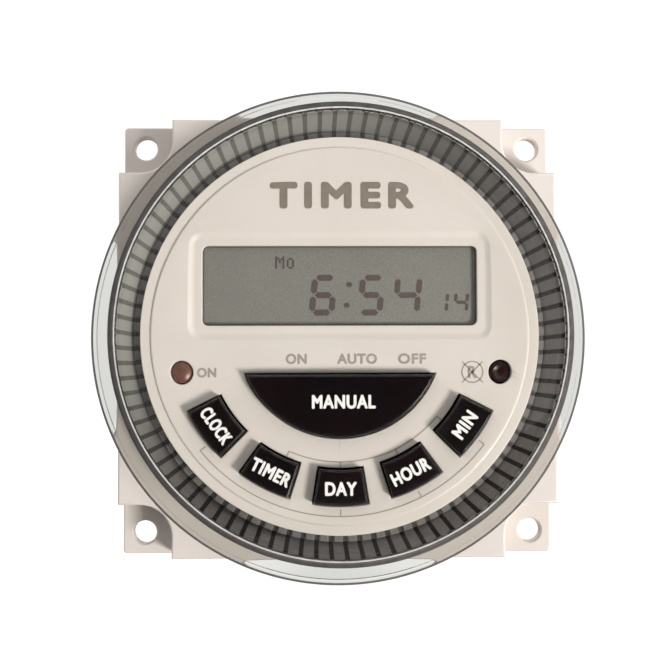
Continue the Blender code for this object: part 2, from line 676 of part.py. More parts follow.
# ------------------------------------------------------------------ power board
def power_board():
    half_width = HALF_REAR - WALL - 0.9 * MM
    bottom = CAVITY_BOTTOM + 0.5 * MM
    top = HALF_REAR - WALL - 0.5 * MM
    outline = rounded_rectangle(2 * half_width, top - bottom, REAR_CORNER - WALL - 0.4 * MM)
    board = plate("power_board", outline, POWER_BACK, POWER_FRONT, (0, (top + bottom) / 2))
    for i, at in enumerate(POWER_SCREWS):
        span = (POWER_BACK - WALL, POWER_FRONT + WALL)
        cut(board, cylinder(f"power_hole_{i}", BOARD_HOLE_RADIUS, *span, at, 12, CUTTERS))
    finish(board, "board_green")


def standing_box(name, x_range, y_range, height, material, edge=0.4 * MM):
    part = block(name, x_range, y_range, (PART_BASE, PART_BASE + height))
    return finish(bevel(part, edge), material)


def turned_part(name, profile, at, steps, material):
    """A turned part that stands on the power board; its profile is in millimetres above its base."""
    finish(turned(name, [(r * MM, PART_BASE + z * MM) for r, z in profile], at, steps), material, 35)


def power_parts():
    standing_box("relay", *RELAY, "relay_blue", 0.6 * MM)
    standing_box("dropper_capacitor", *DROPPER, "capacitor_yellow")
    standing_box("bridge_rectifier", *RECTIFIER, "dark_plastic", 0.2 * MM)
    can = [(0.0, 11.0), (3.6, 11.0), (4.0, 10.6), (4.0, 1.4), (3.7, 1.1), (4.0, 0.8), (4.0, 0.0), (0.0, 0.0)]
    turned_part("smoothing_capacitor", can, SMOOTHING_AT, 24, "dark_plastic")
    cell = [(0.0, 6.0), (5.2, 6.0), (5.2, 5.5), (7.0, 5.5), (7.6, 4.9), (7.6, 0.0), (0.0, 0.0)]
    turned_part("backup_battery", cell, BATTERY_AT, 32, "battery_green")
    varistor = cylinder("varistor", VARISTOR[0], -VARISTOR[1] / 2, VARISTOR[1] / 2, segments=20)
    varistor.location = VARISTOR_AT
    varistor.rotation_euler = (math.pi / 2, 0.0, 0.0)
    finish(bevel(varistor, 0.7 * MM, 2), "ceramic_blue", 35)
    fuse = cylinder("fusible_resistor", FUSE[0], -FUSE[1] / 2, FUSE[1] / 2, segments=16)
    fuse.location = FUSE_AT
    fuse.rotation_euler = (0.0, math.pi / 2, 0.0)
    finish(bevel(fuse, 0.4 * MM, 2), "rubber", 35)


def board_header():
    """Row of pins that carries power and signals between the two boards."""
    middle, row = HEADER_AT
    half = HEADER_PINS * HEADER_PITCH / 2
    rows = (row - HEADER_HALF_WIDTH, row + HEADER_HALF_WIDTH)
    columns = (middle - half, middle + half)
    header = block("board_header", columns, rows, (PART_BASE, PART_BASE + HEADER_HEIGHT))
    pin_rows = (row - PIN_HALF_WIDTH, row + PIN_HALF_WIDTH)
    pin_span = (PART_BASE + MM, LOGIC_BACK - GAP)
    for i in range(HEADER_PINS):
        x = middle + (i - (HEADER_PINS - 1) / 2) * HEADER_PITCH
        pin_columns = (x - PIN_HALF_WIDTH, x + PIN_HALF_WIDTH)
        join(header, block(f"header_pin_{i}", pin_columns, pin_rows, pin_span, CUTTERS))
    finish(header, "dark_plastic")


# ------------------------------------------------------------------ rear housing
def terminal_places():
    return [(i - (TERMINALS - 1) / 2) * TERMINAL_PITCH for i in range(TERMINALS)]


def rear_housing():
    flange = plate("rear_housing", notched_outline(WALL + GAP), 0.0, REAR_FLANGE)
    outer = rounded_rectangle(REAR_SIDE, REAR_SIDE, REAR_CORNER, 6)
    body = plate("rear_box", outer, SEAT, SINK, group=CUTTERS)
    foot = (FOOT_BACK, SEAT + SINK)
    hook_width = (-HOOK_HALF_WIDTH, HOOK_HALF_WIDTH)
    hook = block("hook_blank", hook_width, (RAIL_TOP - HOOK_GRIP, HALF_REAR), foot, CUTTERS)
    guide_width = (-LATCH_HOUSING_HALF_WIDTH, LATCH_HOUSING_HALF_WIDTH)
    guide = block("guide_blank", guide_width, (-HALF_REAR, FOOT_EDGE), foot, CUTTERS)
    join(flange, body, hook, guide)
    lip_slot = block("lip_slot", (-HALF_BLOCK, HALF_BLOCK), (0.0, RAIL_TOP + RAIL_PLAY), (LIP_BACK, SEAT),
                     CUTTERS)
    inner = HALF_REAR - WALL
    cavity = rounded_rectangle(2 * inner, inner - CAVITY_BOTTOM, REAR_CORNER - WALL)
    hollow = plate("rear_hollow", cavity, REAR_INNER, REAR_FLANGE + WALL, (0, (inner + CAVITY_BOTTOM) / 2),
                   group=CUTTERS)
    bay = block("terminal_bay", (-inner, inner), (-HALF_REAR - WALL, BAY_TOP), BAY_DEPTHS, CUTTERS)
    cut(flange, lip_slot, hollow, bay)
    terminal_slots(flange)
    latch_slots(flange)
    for i, at in enumerate(case_screw_places()):
        hole = cylinder(f"flange_hole_{i}", CASE_PILOT_RADIUS, -WALL, REAR_FLANGE + WALL, at, 12, CUTTERS)
        sink = cylinder(f"flange_sink_{i}", CASE_SINK_RADIUS, -WALL, CASE_SINK_FRONT, at, 16, CUTTERS)
        cut(flange, hole, sink)
    post_span = (REAR_INNER - SINK, POWER_BACK - GAP)
    pilot_span = (REAR_INNER - 0.2 * MM, POWER_BACK)
    for i, at in enumerate(POWER_SCREWS):
        join(flange, cylinder(f"power_post_{i}", POST_RADIUS, *post_span, at, 16, CUTTERS))
        cut(flange, cylinder(f"power_post_hole_{i}", BOARD_PILOT_RADIUS, *pilot_span, at, 12, CUTTERS))
    return finish(flange, "cream_plastic")


def terminal_slots(housing):
    """Slots for the blades' tails through the wall between the bay and the housing."""
    half = BLADE_THICKNESS / 2 + GAP
    rows = (BAY_TOP - SINK, CAVITY_BOTTOM + SINK)
    depths = (PART_BASE - GAP, PART_BASE + BLADE_TAIL + GAP)
    for i, x in enumerate(terminal_places()):
        cut(housing, block(f"terminal_slot_{i}", (x - half, x + half), rows, depths, CUTTERS))


def latch_slots(housing):
    """Undercut slot that the latch slides in, with the post that its spring stands on."""
    wide = LATCH_HALF_WIDTH + GAP
    narrow = wide - LATCH_TRACK_LIP
    span = (-HALF_REAR - WALL, FOOT_EDGE + WALL)
    track = block("latch_track", (-wide, wide), span, (LATCH_BACK - GAP, LATCH_FRONT + GAP), CUTTERS)
    mouth = block("latch_mouth", (-narrow, narrow), span, (FOOT_BACK - WALL, LATCH_FRONT), CUTTERS)
    post_width = (-SPRING_POST_HALF_WIDTH, SPRING_POST_HALF_WIDTH)
    post = block("spring_post", post_width, SPRING_POST, (LATCH_BACK, LATCH_FRONT + GAP + SINK), CUTTERS)
    cut(housing, track, mouth)
    join(housing, post)


def rail_latch():
    """Latch seen from its side: ramped tip, flat slide and pull tab; it slides along y."""
    side = [(LATCH_TIP, LATCH_FRONT), (TAB_BOTTOM, LATCH_FRONT), (TAB_BOTTOM, LATCH_BACK),
            (LATCH_TIP - LATCH_THICKNESS, LATCH_BACK), (LATCH_TIP, LATCH_FRONT - SINK)]
    latch = place("rail_latch", plate_mesh("rail_latch", [side], 2 * LATCH_HALF_WIDTH))
    latch.rotation_euler = (math.pi / 2, 0.0, math.pi / 2)
    tab = block("latch_tab", (-TAB_HALF_WIDTH, TAB_HALF_WIDTH), (TAB_BOTTOM - SINK, TAB_TOP),
                (LATCH_BACK - TAB_STEP, LATCH_FRONT), CUTTERS)
    join(latch, tab)
    window = block("spring_window", (-SPRING_HALF_WINDOW, SPRING_HALF_WINDOW), SPRING_WINDOW,
                   (LATCH_BACK - WALL, LATCH_FRONT + WALL), CUTTERS)
    slot_rows = [TAB_BOTTOM + rise for rise in DRIVER_SLOT_RISE]
    slot = block("driver_slot", DRIVER_SLOT, slot_rows, (LATCH_BACK - 3 * WALL, LATCH_FRONT + WALL), CUTTERS)
    cut(latch, window, slot)
    return finish(latch, "latch_plastic")


def latch_spring():
    """Compression spring between the housing's post and the top of the latch's window."""
    bottom = SPRING_POST[1] + GAP / 2 + SPRING_WIRE
    top = SPRING_WINDOW[1] - GAP / 2 - SPRING_WIRE
    per_turn = 8
    steps = SPRING_TURNS * per_turn
    curve = bpy.data.curves.new("latch_spring", "CURVE")
    curve.dimensions = "3D"
    curve.bevel_depth = SPRING_WIRE
    curve.bevel_resolution = 2
    curve.use_fill_caps = True
    spline = curve.splines.new("POLY")
    spline.points.add(steps)
    for i, point in enumerate(spline.points):
        angle = 2 * math.pi * i / per_turn
        height = bottom + (top - bottom) * i / steps
        point.co = (SPRING_RADIUS * math.cos(angle), height, SPRING_RADIUS * math.sin(angle), 1.0)
    spring = place("latch_spring", curve, (0.0, 0.0, (LATCH_FRONT + LATCH_BACK) / 2))
    curve.materials.append(MATERIALS["spring_steel"])
    return spring


def terminals():
    """Flat blades in the bay; each has a narrow tail that reaches over the power board."""
    middle = (BAY_DEPTHS[0] + BAY_DEPTHS[1]) / 2
    low, high = middle - BLADE_WIDTH / 2, middle + BLADE_WIDTH / 2
    shoulder = BAY_TOP - GAP
    tip = -HALF_REAR + 0.4 * MM
    chamfer_end = tip + BLADE_CHAMFER
    tail_low, tail_high = PART_BASE, PART_BASE + BLADE_TAIL
    tail_end = CAVITY_BOTTOM + BLADE_TAIL_REACH
    side = [(tip, low + BLADE_CHAMFER), (chamfer_end, low), (shoulder, low), (shoulder, tail_low),
            (tail_end, tail_low), (tail_end, tail_high), (shoulder, tail_high), (shoulder, high),
            (chamfer_end, high), (tip, high - BLADE_CHAMFER)]
    detent = arc((tip + BLADE_HOLE_REACH, middle), BLADE_HOLE_RADIUS, 0, 315, 7)
    mesh = plate_mesh("terminal", [side, detent], BLADE_THICKNESS)
    for i, x in enumerate(terminal_places(), 1):
        blade = place(f"terminal_{i}", mesh, (x, 0.0, 0.0))
        blade.rotation_euler = (math.pi / 2, 0.0, math.pi / 2)
        finish(blade, "brass")


front_housing()
clear_cover()
keys_and_switches()
display()
indicator()
logic_board()
screws()
power_board()
power_parts()
board_header()
rear_housing()
rail_latch()
latch_spring()
terminals()
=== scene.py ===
"""Looks of the digital time switch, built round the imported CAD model.

New pieces are drawn in the face frame, in millimetres: x to the right, y up and z straight out of the
face, measured from the back of the mounting ears. FACE_TO_ROW turns that frame into the row frame.
"""

import math
from math import cos, pi, radians, sin

import bmesh
import bpy
from mathutils import Matrix, Vector

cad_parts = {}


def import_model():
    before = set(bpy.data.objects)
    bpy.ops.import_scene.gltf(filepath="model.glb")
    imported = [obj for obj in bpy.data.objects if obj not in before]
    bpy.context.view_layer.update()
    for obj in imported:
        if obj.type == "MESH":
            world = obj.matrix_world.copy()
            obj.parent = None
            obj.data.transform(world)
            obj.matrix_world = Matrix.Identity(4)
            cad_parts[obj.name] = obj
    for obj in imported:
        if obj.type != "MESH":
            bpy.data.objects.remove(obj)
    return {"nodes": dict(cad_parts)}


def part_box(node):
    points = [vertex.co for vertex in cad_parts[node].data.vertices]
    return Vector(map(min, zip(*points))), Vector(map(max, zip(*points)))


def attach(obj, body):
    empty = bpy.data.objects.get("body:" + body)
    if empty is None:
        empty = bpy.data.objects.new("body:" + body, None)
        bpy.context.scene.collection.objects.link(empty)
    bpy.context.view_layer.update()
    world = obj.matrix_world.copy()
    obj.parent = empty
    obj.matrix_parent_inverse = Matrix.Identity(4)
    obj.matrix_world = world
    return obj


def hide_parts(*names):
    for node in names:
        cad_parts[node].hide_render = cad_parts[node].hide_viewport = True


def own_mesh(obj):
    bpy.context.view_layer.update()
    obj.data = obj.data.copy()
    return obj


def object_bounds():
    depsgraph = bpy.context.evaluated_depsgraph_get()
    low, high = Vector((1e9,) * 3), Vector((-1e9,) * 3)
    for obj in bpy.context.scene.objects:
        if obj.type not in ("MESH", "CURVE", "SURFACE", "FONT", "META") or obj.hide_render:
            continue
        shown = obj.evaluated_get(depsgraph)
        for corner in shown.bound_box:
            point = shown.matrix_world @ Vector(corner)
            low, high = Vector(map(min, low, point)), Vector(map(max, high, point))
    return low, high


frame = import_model()
CAD_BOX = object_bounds()

MM = 0.001
EAR_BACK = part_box("front_housing")[1].y          # plane of the ears' backs, in the row frame
FACE_TO_ROW = (
    Matrix.Translation((0.0, EAR_BACK, 0.0))
    @ Matrix.Rotation(pi / 2, 4, "X")
    @ Matrix.Scale(MM, 4)
)
ROW_TO_FACE = FACE_TO_ROW.inverted()


def node_box(name):
    """A CAD node's (x range, y range, z range) in the face frame, in millimetres."""
    corners = [ROW_TO_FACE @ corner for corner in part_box(name)]
    return [sorted(corner[axis] for corner in corners) for axis in range(3)]


# ---- sizes in the face frame (mm)
# Square block and its mounting ears
HALF_BLOCK = 30.0
BLOCK_FRONT = 8.1
WALL = 1.6
EAR_THICKNESS = 2.2
EAR_HOLE = 27.0
EAR_HOLE_RADIUS = 1.6
NOTCH = 7.3
NOTCH_RADIUS = 4.3

# Round front
SHOULDER_RADIUS = 30.0
SHOULDER_FRONT = 10.5
RING_RADIUS = 27.7
RING_FRONT = 11.5
TURRET_RADIUS = 26.5
RIM_FRONT = 15.8
FACE_RADIUS = 25.0
FACE_FRONT = 16.1
FACE_INNER = 14.6
TURRET_BORE = 24.6

# Display
DISPLAY_CENTRE = (0.0, 6.5)
DISPLAY_WINDOW = (35.8, 10.4)
DISPLAY_TRAY = (39.5, 14.0)
DISPLAY_POCKET = (38.2, 13.2)     # holds the display panel behind the face
DISPLAY_POCKET_DEPTH = 0.7
TRAY_FLOOR = 15.8

WINDOW_SHADE_LINE = 0.16             # width of a painted shadow line inside the edge of the window

# Keys
KEY_CLEARANCE = 0.2
KEY_FLANGE = 0.5                  # height of the flange that keeps a key behind the face
KEY_EDGE = 0.38
MANUAL_RADIUS = 13.2
MANUAL_CHORD = -5.1
SECTOR_INNER = 17.4
SECTOR_OUTER = 22.1
SECTOR_CENTRE = (SECTOR_INNER + SECTOR_OUTER) / 2
SECTOR_HALF_ANGLE = radians(9.2)
SECTOR_KEYS = (("clock", -54), ("timer", -27), ("day", 0), ("hour", 27), ("min", 54))
INDICATOR_AT = (-20.6, -4.8)
INDICATOR_RADIUS = 1.45
INDICATOR_DOME = 0.75
RESET_AT = (20.9, -4.8)
RESET_HOLE_RADIUS = 1.6
RESET_RADIUS = 1.35

# Clear cover
COVER_BORE = 28.1
COVER_ROOT = 28.6
COVER_RIB = 29.05
COVER_RIBS = 90
COVER_WINDOW = 1.2
COVER_FLANGE = 1.3
WINDOW_EDGE = 28.08               # where the flat window ends and its edge ring with a painted highlight begins
SHOULDER_START = 28.27

# Dark ring at the turret's foot: a dark piece put in the gap where there is only shade
SHADE_RING_INNER = 26.45
SHADE_RING_OUTER = 27.9
SHADE_RING_BACK = 11.8
SHADE_RING_FRONT = 13.2
SHADE_RING_EDGE = 0.1
SHADE_RING_DIP = 0.3                 # depth of the dip opposite each groove of the skirt, under a painted rib shadow

# Rear housing
REAR_BACK = -8.5
HALF_REAR = 24.0
REAR_CORNER = 6.0
REAR_FLANGE = 2.0
HOLLOW_BACK = -7.0
HOLLOW_BOTTOM = -14.4
LABEL_SIZE = (34.0, 22.0)
LABEL_MIDDLE = 3.0
LABEL_RECESS = 0.25
LABEL_THICKNESS = 0.12
DIAGRAM_PITCH = 5.6               # between the terminals that the label shows
LOW_BAR = 1.4
HIGH_BAR = 5.0
VENTS = 7                         # on each side
VENT_PITCH = 2.4
VENT_START = -6.0
VENT_DEPTHS = (-7.0, -1.6)
FOOT_BACK = -13.4
RAIL_TOP = 20.5
FOOT_EDGE = -14.8
HOOK_HALF_WIDTH = 16.0
HOOK_GRIP = 1.5
LIP_BACK = -9.8
GUIDE_HALF_WIDTH = 10.5
LATCH_HALF_WIDTH = 6.0
LATCH_CLEARANCE = 0.3
SPRING_POST = (-22.2, -21.2)
BAY_TOP = -15.8
BAY_DEPTHS = (-7.3, -0.6)
BLADES = 5
BLADE_PITCH = 8.8
BLADE_TIP = 0.9                   # chamfer of a blade's tip
BLADE_EDGE = 0.1
BLADE_TAIL = (-3.3, -1.7)
TAIL_SLOT = (-3.6, -1.4)
DETENT_REACH = 3.4
DETENT_RADIUS = 0.7
SCREW_SINK_RADIUS = 2.0
SCREW_SINK = 1.25
SCREW_PILOT_RADIUS = 1.15
CASE_SCREWS = ((26.0, 15.5), (-26.0, 15.5), (-26.0, -15.5), (26.0, -15.5))

# Printing
PRINT = 0.03                      # thickness of printed ink
LINE = 0.16                       # width of a printed line


# ---- materials
def add(tree, kind, values=None, **settings):
    """A new shader node with its settings, and with its inputs set or linked."""
    made = tree.nodes.new("ShaderNode" + kind)
    for key, value in settings.items():
        setattr(made, key, value)
    for socket, value in (values or {}).items():
        if isinstance(value, bpy.types.NodeSocket):
            tree.links.new(value, made.inputs[socket])
        else:
            made.inputs[socket].default_value = value
    return made


def new_material(name):
    """An empty node material, with its output node and the piece's own coordinates."""
    made = bpy.data.materials.new(name)
    made.use_nodes = True
    tree = made.node_tree
    tree.nodes.clear()
    output = add(tree, "OutputMaterial")
    place = add(tree, "TexCoord").outputs["Object"]
    return made, tree, output, place


def noise(tree, place, scale, detail=2.0):
    return add(tree, "TexNoise", {"Vector": place, "Scale": scale, "Detail": detail}).outputs["Fac"]


def ranged(tree, value, source, target=(0.0, 1.0)):
    """Maps a value from its source range onto a target range."""
    ends = {"From Min": source[0], "From Max": source[1], "To Min": target[0], "To Max": target[1]}
    return add(tree, "MapRange", {"Value": value, **ends}).outputs["Result"]


def spread(tree, value, target=(0.0, 1.0)):
    """Maps the middle of a noise onto a target range."""
    return ranged(tree, value, (0.3, 0.7), target)


def worked(tree, operation, first, second):
    return add(tree, "Math", {0: first, 1: second}, operation=operation).outputs["Value"]


def mixed(tree, factor, first, second):
    """Mix of two shaders by a factor."""
    mix = add(tree, "MixShader", {"Fac": factor})
    tree.links.new(first, mix.inputs[1])
    tree.links.new(second, mix.inputs[2])
    return mix.outputs["Shader"]


def blend_colours(tree, factor, first, second):
    """Mix of two colours by a factor; the first may be another node's output."""
    first = (*first, 1.0) if isinstance(first, tuple) else first
    values = {"Factor": factor, "A": first, "B": (*second, 1.0)}
    return add(tree, "Mix", values, data_type="RGBA").outputs["Result"]


def moulded(name, colour, shade, roughness, drift=90.0, grain=5200.0, bump=0.05, coat=0.0):
    """Moulded surface: slow drift between two tones, fine grain in its gloss and relief."""
    made, tree, output, place = new_material(name)
    slow = noise(tree, place, drift, 3.0)
    fine = noise(tree, place, grain, 2.0)
    tone = blend_colours(tree, spread(tree, slow), colour, shade)
    gloss = spread(tree, fine, roughness)
    relief = add(tree, "Bump", {"Strength": bump, "Distance": 0.0001, "Height": fine})
    shader = add(tree, "BsdfPrincipled", {
        "Base Color": tone, "Roughness": gloss, "Coat Weight": coat, "Coat Roughness": 0.08,
        "Normal": relief.outputs["Normal"]})
    tree.links.new(shader.outputs["BSDF"], output.inputs["Surface"])
    return made


def brushed(name, colour, shade, roughness, along=(1.0, 1.0, 12.0)):
    """Rolled or drawn metal with fine scratches along one direction."""
    made, tree, output, place = new_material(name)
    stretched = add(tree, "Mapping", {"Vector": place, "Scale": along}).outputs["Vector"]
    lines = noise(tree, stretched, 900.0, 3.0)
    tone = blend_colours(tree, spread(tree, lines), colour, shade)
    gloss = spread(tree, lines, roughness)
    relief = add(tree, "Bump", {"Strength": 0.08, "Distance": 0.0001, "Height": lines})
    shader = add(tree, "BsdfPrincipled", {
        "Base Color": tone, "Roughness": gloss, "Metallic": 1.0, "Normal": relief.outputs["Normal"]})
    tree.links.new(shader.outputs["BSDF"], output.inputs["Surface"])
    return made


PAINTED_SIDE_SPAN = (-0.005, 0.028)        # where the painted tone changes to the upper left painted tone, in metres of height less width


def clear_moulding(name, tint, shade, painted_tone=None, painted_share=0.0, slopes=(0.35, 0.8),
                   lamp=(0.93, 0.93, 0.92), upper_left_painted_tone=None):
    """Clear plastic that darkens towards shade where it is seen along its surface, where a painted tone can
    also cover it.

    The painted tone is painted shade that stands in for the dark surroundings seen through the plastic, and
    on the edge ring a painted highlight. With an upper left painted tone, the painted tone changes towards
    that colour on the object's upper left side, a painted lighter side. Light that falls through the plastic
    only takes the lamp colour.
    """
    made, tree, output, place = new_material(name)
    ripple = noise(tree, place, 260.0, 1.0)
    relief = add(tree, "Bump", {"Strength": 0.02, "Distance": 0.0002, "Height": ripple})
    facing = add(tree, "LayerWeight", {"Blend": 0.5}).outputs["Facing"]
    slope = ranged(tree, facing, slopes)
    glass = add(tree, "BsdfGlass", {
        "Color": blend_colours(tree, slope, tint, shade), "Roughness": 0.0, "IOR": 1.49,
        "Normal": relief.outputs["Normal"]})
    seen = glass.outputs["BSDF"]
    # A diffuse coat at grazing view: painted shade on most pieces, a painted highlight on the edge ring.
    if painted_tone:
        cloud = noise(tree, place, 700.0, 3.0)
        tone = blend_colours(tree, spread(tree, cloud), painted_tone, tuple(0.72 * c for c in painted_tone))
        # Painted lighter side: the coat turns towards the upper left painted tone on the upper left.
        if upper_left_painted_tone:
            parts = add(tree, "SeparateXYZ", {"Vector": place})
            across = worked(tree, "SUBTRACT", parts.outputs["Z"], parts.outputs["X"])
            tone = blend_colours(tree, ranged(tree, across, PAINTED_SIDE_SPAN), tone, upper_left_painted_tone)
        painted_coat = add(tree, "BsdfDiffuse", {"Color": tone})
        seen = mixed(tree, worked(tree, "MULTIPLY", slope, painted_share), seen, painted_coat.outputs["BSDF"])
    through = add(tree, "BsdfTransparent", {"Color": (*lamp, 1.0)})
    path = add(tree, "LightPath")
    for ray in ("Is Diffuse Ray", "Is Shadow Ray"):
        seen = mixed(tree, path.outputs[ray], seen, through.outputs["BSDF"])
    tree.links.new(seen, output.inputs["Surface"])
    return made


CREAM = (0.665, 0.606, 0.562)
CREAM_SHADE = (0.64, 0.581, 0.535)
MATERIALS = {
    "housing": moulded("cream_moulding", CREAM, CREAM_SHADE, (0.38, 0.5), coat=0.06),
    "window": clear_moulding("clear_window", (0.985, 0.985, 0.975), (0.7, 0.7, 0.68),
                             lamp=(0.98, 0.98, 0.975)),
    # Painted shade on the skirt, and on its inner wall grey bars with dark groove lines; they stand in for
    # the dark surroundings and rib shadows seen through the wall.
    "skirt": clear_moulding("painted_skirt_shade", (0.95, 0.95, 0.94), (0.35, 0.35, 0.33), (0.10, 0.095, 0.09), 0.7),
    "bar": clear_moulding("painted_bar_shade", (0.95, 0.95, 0.94), (0.3, 0.3, 0.28), (0.165, 0.15, 0.147), 0.93,
                          upper_left_painted_tone=(0.27, 0.265, 0.245)),
    "groove": clear_moulding("painted_groove_shadow", (0.9, 0.9, 0.88), (0.05, 0.05, 0.05), (0.015, 0.011, 0.012),
                             0.93, upper_left_painted_tone=(0.12, 0.117, 0.105)),
    # Painted shade: the dark ring on the cover's rounded front shoulder.
    "shoulder": clear_moulding("painted_shoulder_shade", (0.5, 0.49, 0.47), (0.2, 0.19, 0.18), (0.12, 0.11, 0.105),
                               0.8, (-0.6, 0.4)),
    # Clear flange with some painted shade where it is seen along its surface.
    "flange": clear_moulding("clear_flange_painted_shade", (0.86, 0.86, 0.845), (0.4, 0.39, 0.38), (0.3, 0.29, 0.28), 0.3,
                             lamp=(0.99, 0.99, 0.99)),
    # Painted highlight: the bright ring at the edge of the window.
    "edge": clear_moulding("painted_highlight_ring", (0.95, 0.95, 0.95), (0.95, 0.95, 0.95), (0.9, 0.9, 0.88), 0.6,
                           (-1.0, 0.0)),
    # Painted shade: the dark line round the flange's outer edge.
    "rim": clear_moulding("painted_flange_edge_shade", (0.6, 0.59, 0.57), (0.3, 0.29, 0.28), (0.17, 0.16, 0.155), 0.75,
                          (-0.6, 0.2)),
    "key": moulded("black_key", (0.0025, 0.0015, 0.002), (0.0065, 0.003, 0.0035), (0.14, 0.22), bump=0.03),
    "display": moulded("display_film", (0.206, 0.201, 0.18), (0.196, 0.191, 0.171), (0.24, 0.3),
                       drift=140.0, grain=9000.0, bump=0.02, coat=0.35),
    # Painted shadow: the dark line inside the display window's edge.
    "outline": moulded("painted_window_shadow", (0.10, 0.092, 0.082), (0.08, 0.075, 0.068), (0.4, 0.5)),
    "segment": moulded("display_ink", (0.085, 0.064, 0.064), (0.105, 0.08, 0.076), (0.3, 0.4), coat=0.2),
    "indicator": moulded("indicator_lens", (0.125, 0.05, 0.038), (0.15, 0.065, 0.048), (0.25, 0.35),
                         drift=500.0),
    "reset": moulded("reset_button", (0.008, 0.003, 0.003), (0.03, 0.003, 0.003), (0.15, 0.25), drift=420.0),
    "label": moulded("label_ink", (0.29, 0.255, 0.215), (0.34, 0.30, 0.26), (0.5, 0.6), drift=900.0),
    "title": moulded("title_ink", (0.185, 0.15, 0.12), (0.215, 0.18, 0.15), (0.5, 0.6), drift=900.0),
    "legend": moulded("key_legend", (0.86, 0.85, 0.83), (0.78, 0.77, 0.75), (0.45, 0.55), drift=900.0),
    "dark": moulded("dark_moulding", (0.03, 0.03, 0.034), (0.022, 0.022, 0.026), (0.4, 0.52)),
    "latch": moulded("latch_moulding", (0.06, 0.06, 0.066), (0.045, 0.045, 0.05), (0.38, 0.5), bump=0.1),
    "board": moulded("board_lacquer", (0.018, 0.115, 0.05), (0.012, 0.075, 0.032), (0.25, 0.4), drift=420.0,
                     grain=1400.0, coat=0.3),
    "steel": brushed("zinc_steel", (0.60, 0.60, 0.60), (0.46, 0.46, 0.45), (0.25, 0.42), (1.0, 1.0, 1.0)),
    "spring": brushed("spring_wire", (0.50, 0.50, 0.51), (0.38, 0.38, 0.39), (0.22, 0.35)),
    "brass": brushed("tinned_brass", (0.72, 0.58, 0.36), (0.60, 0.46, 0.26), (0.25, 0.4)),
    "relay": moulded("relay_case", (0.02, 0.055, 0.2), (0.016, 0.045, 0.16), (0.3, 0.42)),
    "capacitor": moulded("capacitor_case", (0.72, 0.46, 0.05), (0.62, 0.38, 0.04), (0.3, 0.45)),
    "battery": moulded("battery_sleeve", (0.05, 0.24, 0.11), (0.04, 0.19, 0.09), (0.25, 0.35), coat=0.2),
    # Dark piece standing in for the shade in the gap at the turret's foot.
    "gap_shade": moulded("gap_shade_dark", (0.15, 0.138, 0.13), (0.125, 0.115, 0.108), (0.7, 0.85), bump=0.1),
    # Painted shadows of the skirt's ribs, in the dips of the dark ring.
    "painted_rib_shadow": moulded("painted_rib_shadow", (0.03, 0.026, 0.025), (0.022, 0.02, 0.019), (0.7, 0.85), bump=0.1),
    "rubber": moulded("grey_rubber", (0.42, 0.43, 0.43), (0.36, 0.37, 0.37), (0.7, 0.85), bump=0.2),
    "ceramic": moulded("blue_lacquer", (0.03, 0.11, 0.38), (0.025, 0.09, 0.3), (0.3, 0.45), grain=2600.0),
    "paper": moulded("label_paper", (0.80, 0.80, 0.79), (0.76, 0.76, 0.75), (0.35, 0.45), grain=7000.0),
}


# ---- mesh helpers
def placed(name, data):
    """A new object in the scene."""
    made = bpy.data.objects.new(name, data)
    bpy.context.scene.collection.objects.link(made)
    return made


def mesh_of(work, name="shape"):
    bmesh.ops.recalc_face_normals(work, faces=work.faces)
    mesh = bpy.data.meshes.new(name)
    work.to_mesh(mesh)
    work.free()
    return mesh


def arc(centre, radius, start, end, steps):
    """Points on an arc from the start angle to the end angle, in degrees."""
    points = []
    for i in range(steps + 1):
        angle = radians(start + (end - start) * i / steps)
        points.append((centre[0] + radius * cos(angle), centre[1] + radius * sin(angle)))
    return points


def loft(outline_of, levels):
    """A closed body from back to front through an outline, drawn at each level's inset and height."""
    work = bmesh.new()
    rings = [[work.verts.new((x, y, height)) for x, y in outline_of(inset)] for inset, height in levels]
    for lower, upper in zip(rings, rings[1:]):
        for i, corner in enumerate(lower):
            after = (i + 1) % len(lower)
            work.faces.new((corner, lower[after], upper[after], upper[i]))
    work.faces.new(rings[0][::-1])
    work.faces.new(rings[-1])
    return mesh_of(work)


def rounded_levels(back, front, front_radius=0.0, back_radius=0.0, steps=4):
    """Levels of a slab whose front and back edges are rounded."""
    levels = []
    if back_radius:
        for i in range(steps):
            angle = pi / 2 * i / steps
            levels.append((back_radius * (1 - sin(angle)), back + back_radius * (1 - cos(angle))))
    levels.append((0.0, back + back_radius))
    levels.append((0.0, front - front_radius))
    if front_radius:
        for i in range(1, steps + 1):
            angle = pi / 2 * i / steps
            levels.append((front_radius * (1 - cos(angle)), front - front_radius * (1 - sin(angle))))
    return levels


def slab(outline_of, back, front, front_radius=0.0, back_radius=0.0):
    return loft(outline_of, rounded_levels(back, front, front_radius, back_radius))


def lathe(profile, steps=192, at=(0.0, 0.0)):
    """A turned body: the profile runs from the axis at the front down the outer side to the axis."""
    work = bmesh.new()
    angles = [2 * pi * i / steps for i in range(steps)]
    rings = []
    for radius, height in profile:
        ring = [(at[0] + radius * cos(a), at[1] + radius * sin(a)) for a in angles] if radius else [at]
        rings.append([work.verts.new((x, y, height)) for x, y in ring])
    bridge(work, rings, steps)
    return mesh_of(work)


def bridge(work, rings, steps):
    """Faces between neighbouring rings, where a ring of one vertex closes the body on its axis."""
    for upper, lower in zip(rings, rings[1:]):
        for i in range(steps):
            after = (i + 1) % steps
            corners = [upper[i % len(upper)], upper[after % len(upper)],
                       lower[after % len(lower)], lower[i % len(lower)]]
            work.faces.new(list(dict.fromkeys(corners)))


def moved(mesh, at=(0.0, 0.0, 0.0), turn=0.0):
    """The mesh, turned about the face axis and then moved."""
    mesh.transform(Matrix.Translation(at) @ Matrix.Rotation(turn, 4, "Z"))
    return mesh


